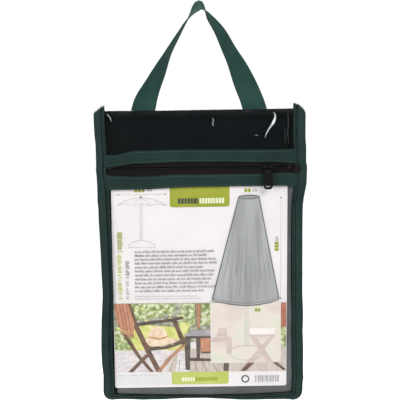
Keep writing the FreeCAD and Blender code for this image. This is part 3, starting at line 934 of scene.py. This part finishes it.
# handle
handle = {
    "width": 26.4, "thick": 1.25, "cup": 0.5, "flex": 0.35, "stations": 210,
    "freeY": 0.1,                 # front to back place of the free webbing
    "behindPanel": 0.95,          # middle of the sewn ends, out from the rear panel
    "sewnKnots": 0.9,             # the same for the knots there
    "layDown": (9, -1),           # heights about the top edge where it comes to lie on the panel
    # x, z, turn in degrees and skew; at turn 0 the webbing lies flat to the front
    "left": [(-82.4, -154.5, 0, 0), (-75.0, -140.0, 0, 0), (-68.0, -126.5, 2, 0),
             (-62.6, -113.5, 17, 0), (-57.5, -102.2, 35, 0), (-46.5, -81.0, 55, 0),
             (-34.5, -56.6, 75, 0), (-21.5, -35.3, 85, 0), (-11.4, -19.2, 92, 0.02),
             (-6.0, -12.0, 102, 0.02), (-2.0, -7.4, 112, 0)],
    "right": [(2.4, -4.4, 114, 0.12), (5.4, -6.6, 104, 0.14), (8.4, -10.6, 92, 0.06),
              (12.8, -17.6, 79, 0), (20.2, -27.6, 69, 0), (34.0, -52.2, 56, 0),
              (47.0, -78.4, 36, 0), (57.8, -103.2, 8, 0), (62.4, -114.0, 2, 0),
              (68.0, -127.0, 0, 0), (75.0, -141.0, 0, 0), (82.0, -155.0, 0, 0)],
}


def handleKnots():
    knots = []
    for x, z, turn, skew in handle["left"] + handle["right"]:
        y = (handle["freeY"] if z > hemZ + 1
             else midY + float(depthAt(x, z)) + handle["sewnKnots"])
        knots.append((x, y, z, turn, skew))
    return knots


def makeHandle():
    track = throughKnots(handleKnots(), handle["stations"])
    spots, turn = track[:, :3], np.radians(track[:, 3])
    run = directions(spots)
    outward = np.stack([-run[:, 2], np.zeros(len(run)), run[:, 0]], 1)
    outward /= np.linalg.norm(outward, axis=1)[:, None]
    across = outward * np.cos(turn)[:, None] - np.array([0, 1.0, 0]) * np.sin(turn)[:, None]
    normal = np.cross(run, across)
    across = across + run * track[:, 4:]
    half, thick, behind = handle["width"] / 2, handle["thick"], handle["behindPanel"]
    layStart, layEnd = (hemZ + height for height in handle["layDown"])
    a = np.concatenate([[-half, -half + 0.35], np.linspace(-half + 1.2, half - 1.2, 17),
                        [half - 0.35, half]])
    swell = np.interp(np.abs(a), (0, half - 1.2, half - 0.3, half), (1, 1.08, 0.75, 0.3))
    free = easeBetween(hemZ, hemZ + 25, spots[:, 2])
    rings, weave = [], []
    length = 0.0
    for k in range(len(spots)):
        if k:
            length += float(np.linalg.norm(spots[k] - spots[k - 1]))
        cup = handle["cup"] * free[k] * (1 - (a / half) ** 2)
        flex = handle["flex"] * free[k] * ripple(61, 40, length, a)
        centre = spots[k] + across[k] * a[:, None]
        over = centre + normal[k] * (cup + flex + swell * thick / 2)[:, None]
        under = centre + normal[k] * (cup + flex - swell * thick / 2)[:, None]
        ring = np.concatenate([over, under[::-1]])
        flat = spots[k] + outward[k] * a[:, None]
        lift = swell * thick / 2
        laid = ringOn(1, flat[:, 0], flat[:, 2], behind + lift, behind - lift)
        follow = easeBetween(layStart, layEnd, ring[:, 2])[:, None]
        rings.append(ring + (laid - ring) * follow)
        weave.append([(u, length) for u in thereAndBack(a)])
    body = Cloth()
    body.loft(rings, np.array(weave))
    strap = body.piece("handle_webbing", finish["webbing"], body=None)
    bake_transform(strap)
    stand(strap, "green_webbing", "handle_strap", "handle_tail_left", "handle_tail_right")


makeHandle()
print("handle made")


# thread
sewing = {
    "thread": 0.26, "pitch": 3.1, "stitch": 2.5,
    "bindingIn": 2.5, "bindingOut": 0.86, "bandRows": (1.8, 10.8), "bandOut": 0.72,
    "box": {"start": 3.0, "end": 26.5, "half": 9.7, "out": 1.65},
}


# Row of stitches along x, z on one face of the bag, standing out by a set amount.
def sew(body, side, xs, zs, out):
    xs, zs = np.asarray(xs, float), np.asarray(zs, float)
    steps = np.hypot(np.diff(xs), np.diff(zs))
    spots = np.concatenate([[0], np.cumsum(steps)])
    count = int(spots[-1] / sewing["pitch"])
    arch = np.array([-0.6, 0.7, 1.0, 0.7, -0.6]) * sewing["thread"]
    for k in range(count):
        at = (k + 0.1) * spots[-1] / count + sewing["stitch"] * np.linspace(0, 1, 5)
        x, z = np.interp(at, spots, xs), np.interp(at, spots, zs)
        strand(body, drape(onFace(side, x, z, out + arch)), sewing["thread"])


def makeBindingStitches(side):
    inset = sewing["bindingIn"]
    line = [(x + nx * inset, z + nz * inset) for x, z, nx, nz in bindingPath()]
    body = Cloth()
    sew(body, side, *zip(*line), sewing["bindingOut"])
    face = "front" if side < 0 else "back"
    stand(body.piece(face + "_binding_stitches", finish["thread"]), "green_thread",
          face + "_stitching")


def makeBandStitches():
    body = Cloth()
    span = np.linspace(-seamX + 1, seamX - 1, 40)
    for z, way in ((kneeZ, -1), (windowTopZ, 1)):
        for row in sewing["bandRows"]:
            sew(body, -1, span, np.full(40, z + way * row), sewing["bandOut"])
    stand(body.piece("band_stitches", finish["thread"]), "green_thread", "zip_stitching")


def makeTailStitches():
    body, box = Cloth(), sewing["box"]
    for side, knots in ((-1, handle["left"][:3]), (1, handle["right"][-3:][::-1])):
        low, high = np.array(knots[0][:2]), np.array(knots[2][:2])
        run = (high - low) / np.linalg.norm(high - low)
        cross = np.array([run[1], -run[0]])
        a, b = low + run * box["start"], low + run * box["end"]
        half = cross * box["half"]
        corners = [a - half, a + half, b + half, b - half]
        for first, second in ((0, 1), (1, 2), (2, 3), (3, 0), (0, 2), (1, 3)):
            line = np.linspace(corners[first], corners[second], 12)
            sew(body, 1, line[:, 0], line[:, 1], box["out"])
    stand(body.piece("handle_stitches", finish["thread"]), "green_thread", "handle_stitching")


makeBindingStitches(-1)
makeBindingStitches(1)
makeBandStitches()
makeTailStitches()
print("stitches made")


# printed card
inks = {
    "white": inkFinish("card_white", [(231, 226, 227), (236, 231, 232)], 25),
    "lime": inkFinish("lime_ink", [(147, 156, 38), (160, 166, 52)], 40),
    "limeLight": inkFinish("pale_lime_ink", [(184, 194, 92), (192, 201, 108)], 40),
    "line": inkFinish("fine_grey_ink", [(168, 166, 170), (196, 194, 198)], 90),
    "word": inkFinish("word_grey_ink", [(128, 126, 130), (176, 174, 178)], 500),
    "dark": inkFinish("dark_ink", [(52, 58, 40), (70, 76, 56)], 80),
    "pale": inkFinish("pale_ink", [(225, 230, 190), (238, 240, 214)], 80),
    "cone": inkFinish("cone_grey_ink", [(150, 151, 152), (164, 165, 166), (176, 177, 178)], 30,
                      stretch=(3.5, 1, 0.35)),
    "coneShade": inkFinish("cone_shade_ink", [(140, 141, 144), (154, 155, 157)], 40),
    "coneLine": inkFinish("cone_outline_ink", [(66, 68, 72), (88, 89, 93)], 60),
    "leaves": inkFinish("leaf_ink", [(112, 130, 84), (146, 160, 104), (188, 198, 146),
                                     (228, 230, 204)], 200, reach=(0.34, 0.66)),
    "hedge": inkFinish("hedge_ink", [(132, 134, 116), (164, 165, 146), (200, 200, 182)], 240,
                       reach=(0.36, 0.66)),
    "lawn": inkFinish("lawn_ink", [(196, 200, 104), (214, 216, 130), (228, 226, 160)], 120),
    "deck": inkFinish("deck_ink", [(208, 200, 204), (222, 214, 216), (232, 226, 228)], 80,
                      stretch=(1, 1, 4)),
    "deckWarm": inkFinish("warm_deck_ink", [(192, 180, 172), (212, 200, 192)], 90,
                          stretch=(4, 1, 1)),
    "wood": inkFinish("chair_wood_ink", [(98, 74, 62), (124, 96, 80)], 120),
    "woodLit": inkFinish("lit_wood_ink", [(168, 124, 98), (190, 146, 118)], 120),
    "slats": inkFinish("slat_ink", [(186, 126, 98), (206, 150, 122)], 90, stretch=(5, 1, 1)),
    "table": inkFinish("table_ink", [(84, 72, 66), (104, 92, 86)], 120),
    "tableTop": inkFinish("table_top_ink", [(160, 154, 160), (186, 180, 184)], 90),
    "hat": inkFinish("hat_ink", [(216, 186, 156), (234, 208, 182), (242, 222, 202)], 160),
    "veil": inkFinish("veil_ink", [(219, 206, 199), (228, 217, 209), (217, 218, 201)], 45),
    "veilDark": inkFinish("veil_shade_ink", [(203, 184, 178), (212, 196, 190)], 70),
    "veilLight": inkFinish("veil_light_ink", [(238, 230, 226), (244, 236, 232)], 60),
    "brick": inkFinish("brick_ink", [(158, 92, 72), (186, 124, 102)], 150),
    "paleGrey": inkFinish("pale_grey_ink", [(218, 217, 219), (225, 224, 226)], 60),
}
inkNames = list(inks)

card = {
    "turn": 0.3, "corner": 2.6, "layer": 0.0035, "middle": -0.9, "wider": 0.2, "rise": 0.6,
    "shorter": 1.2,
    "trim": {"topLeft": 3.0, "bottomLeft": -1.1, "bottom": 1.7},     # how the sheet was cut
}


def roundedBox(x0, z0, x1, z1, corner=0.0, low=True, high=True):
    outline = []
    inner = ((x1 - corner, z1 - corner), (x0 + corner, z1 - corner),
             (x0 + corner, z0 + corner), (x1 - corner, z0 + corner))
    for start, (cx, cz) in enumerate(inner):
        if corner and (high if start < 2 else low):
            for step in range(5):
                a = (start + step / 4) * math.pi / 2
                outline.append((cx + corner * math.cos(a), cz + corner * math.sin(a)))
        else:
            outline.append(((x1, z1), (x0, z1), (x0, z0), (x1, z0))[start])
    return outline


# Drawn line as one four-sided patch for each stretch of it.
def lineShapes(points, width):
    one, other = offsetLine(points, width / 2), offsetLine(points, -width / 2)
    return [[one[i], one[i + 1], other[i + 1], other[i]] for i in range(len(points) - 1)]


def arcPoints(cx, cz, rx, rz, start, end, count=14):
    return [(cx + rx * math.cos(math.radians(a)), cz + rz * math.sin(math.radians(a)))
            for a in np.linspace(start, end, count)]


# Everything printed on the card: ink, layer and outline, from the middle of its lower edge.
def cardArt():
    art = []
    rng = random.Random(19)

    def patch(ink, level, outline):
        art.append((ink, level, [tuple(p) for p in outline]))

    def line(ink, level, width, *points):
        for shape in lineShapes(points, width):
            patch(ink, level, shape)

    def blocks(ink, level, x0, x1, z0, z1, sizes=(2.2, 6.0), gap=1.1):
        at = x0
        while at < x1 - 1:
            wide = min(rng.uniform(*sizes), x1 - at)
            patch(ink, level, roundedBox(at, z0, at + wide, z1))
            at += wide + gap

    # fine print: short upright ticks in word-long groups
    def ticks(ink, x0, x1, z, tall):
        at = x0
        while at < x1:
            for _ in range(rng.randint(3, 10)):
                wide = rng.uniform(0.45, 0.95)
                high = tall * rng.choice((0.62, 0.66, 0.7, 1.0))
                patch(ink, 1, roundedBox(at, z - tall / 2, at + wide, z - tall / 2 + high))
                at += wide + 0.38
            at += 1.1

    # every patch of the picture lies on top of the one before
    def paint(ink, *outlines):
        for outline in outlines:
            patch(ink, 1 + len(art) - start, outline)

    # label at the top, plain blocks where the words were
    patch("lime", 1, roundedBox(-33.5, 228.5, 37, 258, 3, high=False))
    blocks("dark", 2, -24, 0, 232.5, 239, (2.2, 3.6), 0.7)
    blocks("pale", 2, 1.5, 31, 232.5, 239, (2.2, 3.6), 0.7)
    # parasol drawing with its size line
    line("line", 1, 0.45, (-93, 244.5), (-39.5, 244.3))
    for x in (-94, -38.5):
        patch("coneLine", 1, arcPoints(x, 244.4, 0.9, 0.9, 0, 330, 10))
    blocks("lime", 1, -75, -62, 247.2, 252, (3.4, 3.8), 0.8)
    blocks("line", 1, -60, -54, 248, 251.5, (2.2, 2.6), 0.8)
    canopy = [(-95.5, 231.5), (-88.5, 236), (-79, 239.3), (-67.5, 240.8), (-56, 239), (-45, 235),
              (-37, 230.5)]
    line("line", 1, 0.7, *canopy)
    for x0, x1, sink in ((-95.5, -75, 1.8), (-75, -57.5, 2.2), (-57.5, -37, 1.6)):
        z0, z1 = 231.5 - (x0 > -60) * 0.5, 231.2 - (x1 > -60) * 0.5
        line("line", 1, 0.5, *[(x0 + (x1 - x0) * t, z0 + (z1 - z0) * t
                                + sink * math.sin(math.pi * t)) for t in np.linspace(0, 1, 8)])
    for x in (-75, -57.5):
        line("line", 1, 0.45, (-67.5, 239.8), (x + (-67.5 - x) * 0.3, 236.5), (x, 231.2))
    patch("coneLine", 1, roundedBox(-68.3, 239.6, -66.8, 242.6))
    for x in (-69.5, -67.3):
        line("line", 1, 0.4, (x + 0.8, 233.6), (x - 0.2, 189.2))
    line("line", 1, 0.5, (-84, 180.5), (-83.3, 184), (-79, 187), (-69, 189.4), (-59, 187.2),
         (-53.2, 183.6), (-52.4, 180.2))
    line("line", 1, 0.4, (-84, 180.4), (-52.4, 180.0))
    # upright print at the left
    for ink, x0, x1, z0, z1 in (("limeLight", -98, -93, 116, 172), ("lime", -97.3, -91, 175, 200),
                                ("line", -88.5, -85, 116, 140), ("word", -88.3, -83.7, 142.5, 165)):
        at = z0
        while at < z1 - 1:
            tall = min(rng.uniform(1.0, 1.9), z1 - at)
            patch(ink, 1, roundedBox(x0, at, x1 - rng.choice((0, 0, 1.2)), at + tall))
            at += tall + rng.choice((0.8, 0.8, 0.8, 2.0))
    rows = [(175, 12), (170.3, 5), (165.6, 14.5), (160.8, 17), (155.8, 1), (151, 16),
            (146, 12), (141, 10.5), (136.2, 10), (131.2, 12), (126.3, 0)]
    for z, reach in rows:
        ticks("word", -77.3 + (z - 150) * 0.02, reach, z, 2.9)
    for z, reach in ((119.5, -6.5), (116.2, -3.5)):
        ticks("line", -78, reach, z, 1.3)
    # cone-shaped cover with its folds
    rim = arcPoints(59.7, 239.4, 11.9, 2.3, 180, 0, 13)
    skirt = [(95.5, 113.5), (85.5, 109.6), (70.5, 106.8), (55.5, 106), (40, 107.6), (25, 110.8),
             (14.8, 113.2)]
    cone = 190       # lies over the picture
    patch("cone", cone, rim + skirt)
    folds = [(-9, -34), (-6.5, -25), (-4.4, -17), (-2.5, -9.5), (-0.5, -3), (1.5, 5), (3.4, 12),
             (5.6, 20), (7.8, 27), (9.6, 33)]
    for k, (top, foot) in enumerate(folds):
        x0, x1 = 59.7 + top, 56.5 + foot
        z1 = 109 + (foot / 40) ** 2 * 4
        begin, end = rng.uniform(0.02, 0.5), rng.uniform(0.7, 0.98)
        ends = [(x0 + (x1 - x0) * t, 237 + (z1 - 237) * t) for t in (begin, end)]
        patch("coneShade", cone + 1 + k, [ends[0], (ends[1][0] - 0.7, ends[1][1]),
                                          (ends[1][0] + 0.6, ends[1][1] + 1)])
    patch("coneShade", cone + 12, arcPoints(59.7, 239.2, 10.4, 1.5, 0, 345, 18))
    line("coneLine", cone + 14, 0.7, *arcPoints(59.7, 239.2, 11.5, 2.0, 0, -180, 14))
    line("coneLine", cone + 16, 0.95, *(rim + skirt + rim[:1]))
    line("coneLine", cone + 15, 0.4, (94.6, 116), (85.5, 112.4), (70.5, 109.8), (55.5, 109),
         (40, 110.4), (25, 113.4), (15.6, 116))
    line("line", 1, 0.4, (97.6, 237), (97.5, 116))
    for z in (238.3, 114.6):
        patch("coneLine", 1, arcPoints(97.5, z, 0.9, 0.9, 0, 330, 10))
    for k in range(3):
        patch("lime", 1, roundedBox(90.2, 173.6 + k * 3.9, 95, 176.8 + k * 3.9))
    for k in range(2):
        patch("line", 1, roundedBox(91.2, 185.8 + k * 3, 94.6, 188 + k * 3))
    blocks("lime", 1, 54.5, 62, 245.3, 249.6, (3.3, 3.4), 0.8)
    blocks("line", 1, 64, 69.5, 245.6, 249, (2.2, 2.4), 0.7)
    # garden picture
    start = len(art)
    paint("hedge", [(-104.5, 60), (98, 60), (98, 109.2), (-104.5, 110.8)])
    paint("leaves", [(-84, 88), (-52, 92), (-30, 101), (-30, 110), (-84, 110.4)],
          [(-28, 78), (-6, 82), (-6, 109.6), (-22, 109.8)],
          [(0, 82), (13, 82), (13, 109.3), (2, 109.4)])
    paint("lawn", [(-104.5, 50), (-18, 50), (-18, 74), (-30, 80), (-70, 84), (-104.5, 80)])
    paint("leaves", [(-104.5, 51), (-82, 51), (-84, 66), (-92, 74), (-104.5, 80)])
    paint("lawn", [(-30, 68), (-16, 72), (-12, 84), (-24, 86)])
    paint("deck", [(-105.5, 22.2), (-15, 21.6), (-15, 50), (-105.2, 50.5)])
    paint("deckWarm", [(-42, 21.8), (104.5, 20.6), (104.5, 36), (-12, 52), (-30, 50)])
    for x0, x1 in ((-33, -38), (-26, -27), (-8, -5), (2, 7), (12, 20), (20, 30)):
        paint("table", *lineShapes([(x0, 38), (x1, 21.9)], 0.5))
    for k in range(9):       # gaps between the boards
        paint("deckWarm", *lineShapes([(-104 + k * 9, 22.4), (-92 + k * 7, 49.5)], 0.5))
    # pale spots of light among the leaves
    for _ in range(34):
        x, z = rng.uniform(-80, 10), rng.uniform(88, 108)
        size = rng.uniform(0.8, 2.3)
        paint(rng.choice(("lawn", "veil", "pale")),
              arcPoints(x, z, size, size * rng.uniform(0.6, 1), 0, 324, 9))
    paint("woodLit", [(-5, 109.4), (1.5, 109.4), (-0.5, 79), (-4, 79)])
    paint("slats", [(0, 66), (12, 66), (12, 48), (0, 48)])
    # table
    paint("table", [(-5, 66), (0, 66), (-1, 38.5), (-5, 38.5)],
          [(-14, 40), (27.5, 38), (27.5, 34.8), (-13.5, 36)],
          [(0.5, 47.8), (12, 47.8), (12, 45.4), (0.5, 45.4)],
          [(28, 33), (34.5, 33), (34, 22.2), (28, 22.2)],
          [(-19.5, 67.5), (-12, 67), (-13.5, 24), (-19, 24.5)],
          [(-18, 68.6), (12.4, 68.6), (12.4, 65.2), (-16.5, 65.4)])
    paint("tableTop", [(-20.5, 69.8), (-8, 75.4), (12.4, 76), (12.4, 68.2), (-17, 68.2)])
    # folding chair with a straw hat
    paint("slats", [(-103.9, 110.4), (-87, 110.2), (-79, 85), (-81.5, 71.5), (-96.5, 77.5),
                    (-101.5, 88.5)])
    for k in range(4):
        paint("wood", *lineShapes([(-101.5 + k * 4, 110), (-97.5 + k * 4.4, 78.5 - k * 1.4)], 0.7))
    paint("woodLit", [(-98, 77), (-81, 71), (-81, 66.5), (-96.5, 71.5)])
    paint("wood", [(-87, 110.3), (-83.5, 110.2), (-75.5, 82.5), (-78.5, 81)],
          [(-95.5, 72.5), (-89.8, 71.5), (-73.5, 43), (-57.5, 22), (-62.5, 22.2), (-78.5, 43)],
          [(-67.5, 45.5), (-63, 43.5), (-83.5, 22.2), (-89.5, 22.3)],
          [(-34, 87.5), (-29, 88), (-17.5, 60), (-22, 56)])
    paint("hat", [(-64, 64), (-63, 72), (-60, 77.5), (-55, 80.8), (-50, 81.3), (-45, 79.3),
                  (-41.3, 74), (-39.5, 66)])
    paint("slats", [(-63.4, 66.5), (-50, 64.2), (-40, 67.2), (-40, 68.8), (-50, 66.2), (-63, 68.6)])
    paint("hat", [(-67, 66.5), (-58, 64), (-48, 63.6), (-39.5, 67), (-27.5, 64.5), (-27, 60),
                  (-34, 57.5), (-47.5, 55.2), (-62.5, 56.5), (-66.5, 61)])
    paint("table", [(-63.8, 57.2), (-60, 54.8), (-46, 56.2), (-33, 59.6), (-22.5, 64.5),
                    (-21.5, 58.5), (-41.5, 52), (-60.5, 50)],
          [(-80.5, 85), (-61.5, 88), (-43.5, 89.7), (-21, 93.5), (-20.5, 90.3), (-42, 86.2),
           (-62, 83.6), (-79.5, 81)])
    paint("wood", [(-81, 80.8), (-75, 82), (-60, 47.5), (-48, 22.2), (-54.6, 22), (-67.5, 49.5)])
    paint("woodLit", [(-23, 57), (-16.5, 58.5), (-34, 41), (-49.5, 22), (-54.5, 22),
                      (-41.5, 39.5)])
    paint("brick", [(98, 109), (104.6, 109), (104.6, 78), (98, 78)])
    paint("leaves", [(98, 78), (104.6, 78), (104.6, 52), (98, 56)])
    paint("deckWarm", [(98, 56), (104.6, 52), (104.6, 20.8), (98, 32)])
    # pale box with a faint stand
    paint("veil", roundedBox(12.3, 32.6, 98, 110))
    paint("veilDark", [(12.6, 66), (38, 66.5), (38, 45), (32, 45), (32, 60), (12.6, 60)],
          [(22, 78), (32, 78), (33, 67), (20, 67)],
          [(61, 65), (68.5, 65), (89, 33), (81, 33)],
          [(84.5, 66), (91, 67), (66, 33.5), (56, 33)])
    paint("veilLight", [(59.5, 77), (91.5, 77), (90, 66), (61, 66)])
    paint("veilDark", [(59, 69), (91, 69), (91, 66), (60, 66)])
    for x in (55.2, 58.2):
        paint("line", *lineShapes([(x, 106), (x - 0.4, 53)], 0.45))
    ellipse = lineShapes(arcPoints(56, 45.5, 21, 9.5, 0, 355, 30), 0.45)
    paint("line", *ellipse)
    for k in range(2):
        paint("lime", roundedBox(66.5 + k * 3.5, 98.4, 69.2 + k * 3.5, 102.2))
    paint("wood", [(49, 22), (55, 22), (66, 32.6), (58, 32.6)],
          [(88, 32.6), (94, 32.6), (104.4, 23), (101, 22)])
    # strip along the bottom
    patch("paleGrey", 1, roundedBox(-102.5, 5.0, -38, 20))
    ticks("line", -101, -43, 18.3, 1.4)
    patch("limeLight", 3, roundedBox(-36.3, 5.2, 34, 21.4, 3, high=False))
    blocks("pale", 4, -23.5, -8, 9.3, 14.3, (2, 3.2), 0.7)
    blocks("lime", 4, -7, 21, 9.3, 14.3, (2, 3.2), 0.7)
    line("coneLine", 2, 1.7, *arcPoints(54.5, 11.2, 4.2, 4.2, 0, 360, 22))
    at = 66.5
    while at < 96:
        wide = rng.choice((0.6, 0.9, 1.5))
        patch("word", 2, roundedBox(at, 7, at + wide, 15.6))
        at += wide + rng.choice((0.6, 0.9, 1.3))
    return art


def makeCard():
    low, high = place("insert_card")
    turn = math.radians(card["turn"])
    wide, tall = (high[0] - low[0]) / 2 + card["wider"], high[2] - low[2]

    def onCard(x, up, level):
        return (card["middle"] + x * math.cos(turn) - up * math.sin(turn),
                low[1] + 0.02 - level,
                low[2] + card["rise"] + x * math.sin(turn) + up * math.cos(turn))

    body = Cloth()
    trim = card["trim"]
    sheet = roundedBox(-wide, trim["bottom"], wide, tall - card["shorter"], card["corner"],
                       high=False)
    slope = trim["topLeft"] - trim["bottomLeft"]
    outline = [(x + (x < 0) * (trim["bottomLeft"] + slope * up / tall), up) for x, up in sheet]
    body.slab(outline, onCard, low[1] - high[1] + 0.04, 0.0)
    for ink, level, shape in cardArt():
        body.slab(shape, onCard, -0.02, 0.02 + card["layer"] * level, inkNames.index(ink))
    for points in body.points:       # the card bows forward with the cover behind it
        points[:, 1] = drape(points)[:, 1]
    made = body.piece("insert_card_print", [inks[name] for name in inkNames], crease=20)
    stand(made, "white_card", "insert_card")


makeCard()
print("card printed")


# folded cover behind the card
folded = {
    "layers": 8, "cloth": 0.7, "sides": (-106.0, 109.9), "slack": 0.4,
    "clearFront": 1.2, "clearRear": 3.6,
    "topsUneven": 3, "topsDown": 1.6, "feetUneven": 2.5, "feetUp": 1.0, "frontFoot": 0.7,
}


def makeCover():
    low, high = place("folded_cover")
    count, thick = folded["layers"], folded["cloth"]
    spots = np.linspace(low[1] + folded["clearFront"], high[1] - folded["clearRear"], count)
    gap = spots[1] - spots[0]
    rng = random.Random(91)
    tops = [high[2] - folded["topsDown"] - rng.uniform(0, folded["topsUneven"])
            for _ in range(count)]
    feet = [low[2] + folded["feetUp"] + rng.uniform(0, folded["feetUneven"])
            for _ in range(count)]
    feet[0] = bottomZ + folded["frontFoot"] - gap / 2
    line = []
    for k, y in enumerate(spots):
        up = k % 2 == 0
        zs = np.linspace(feet[k] + gap / 2, tops[k] - gap / 2, 30)
        line += [(y, z) for z in (zs if up else zs[::-1])]
        if k < count - 1:
            middle = (y + spots[k + 1]) / 2
            end = (tops[k] + tops[k + 1]) / 2 - gap / 2 if up else \
                (feet[k] + feet[k + 1]) / 2 + gap / 2
            for a in np.linspace(0.2, 0.8, 5):
                line.append((middle - gap / 2 * math.cos(a * math.pi),
                             end + (1 if up else -1) * gap / 2 * math.sin(a * math.pi)))
    line = np.array(line)
    length = runLength(line)
    rings, weave = [], []
    for x in np.linspace(*folded["sides"], 34):
        wave = folded["slack"] * 0.5 * ripple(93, 55, line[:, 1] + 200, np.full(len(line), x))
        waved = line + np.stack([wave, wave * 0.2], 1)
        outline = stripOutline(waved, thick)
        rings.append(acrossAt(x, outline))
        weave.append([(x, run) for run in thereAndBack(length)])
    body = Cloth()
    body.loft(rings, np.array(weave))
    cover = stand(body.piece("folded_grey_cover", finish["greyCloth"]), "grey_cloth",
                  "folded_cover")
    wide = (folded["sides"][1] - folded["sides"][0]) * mm
    print("cover cloth", round(wide, 3), "x", round(float(length[-1]) * mm, 3))


makeCover()


# creases in the clear film: real raised ridges, coloured white as painted glare highlights and
# glints
marks = {
    "ridge": 0.28, "rim": 0.04,       # how far a crease stands out in the middle and at its rim
    # x and distance below the top edge, from one end of a crease to the other, with its width
    "lines": [
        ([(86.8, 3.5), (88.2, 8), (86.6, 14), (82.6, 21), (79.0, 27), (76.4, 33.5)], 1.9),
        ([(88.6, 5.5), (89.0, 11), (86.6, 17), (82.6, 22.5)], 1.0),
        ([(15.6, 10), (17.0, 13), (15.4, 16), (17.4, 20)], 0.8),
        ([(64.5, 31), (66.5, 30.6), (68.4, 31.4)], 0.6),
        ([(-107.5, 3), (-105.5, 5.5), (-103, 8)], 0.9),
        ([(-104.6, 6), (-103.2, 9.5), (-102.6, 11.5)], 0.6),
        ([(102.4, 5), (103.4, 16), (102.6, 28), (103.6, 42)], 0.15),
        ([(99.2, 22), (99.8, 34), (99.4, 44)], 0.1),
    ],
}


def makePaintedGlareCreases():
    body = Cloth()
    for knots, wide in marks["lines"]:
        path = throughKnots([(x, hemZ - down, 0) for x, down in knots], 26)
        run = directions(path[:, :2])
        cross = np.stack([-run[:, 1], run[:, 0]], 1)
        rings = []
        for k, (spot, side) in enumerate(zip(path[:, :2], cross)):
            half = wide / 2 * math.sin(math.pi * min(0.97, 0.05 + k / 26)) ** 0.6
            a = np.linspace(-half, half, 5)
            out = marks["rim"] + marks["ridge"] * (1 - (a / half) ** 2)
            x, z = spot[0] + side[0] * a, spot[1] + side[1] * a
            rings.append(ringOn(-1, x, z, 0.01, out))
        body.loft(rings)
    body.piece("film_creases_painted_glare", finish["crease"])


makePaintedGlareCreases()
print("contents and creases made")
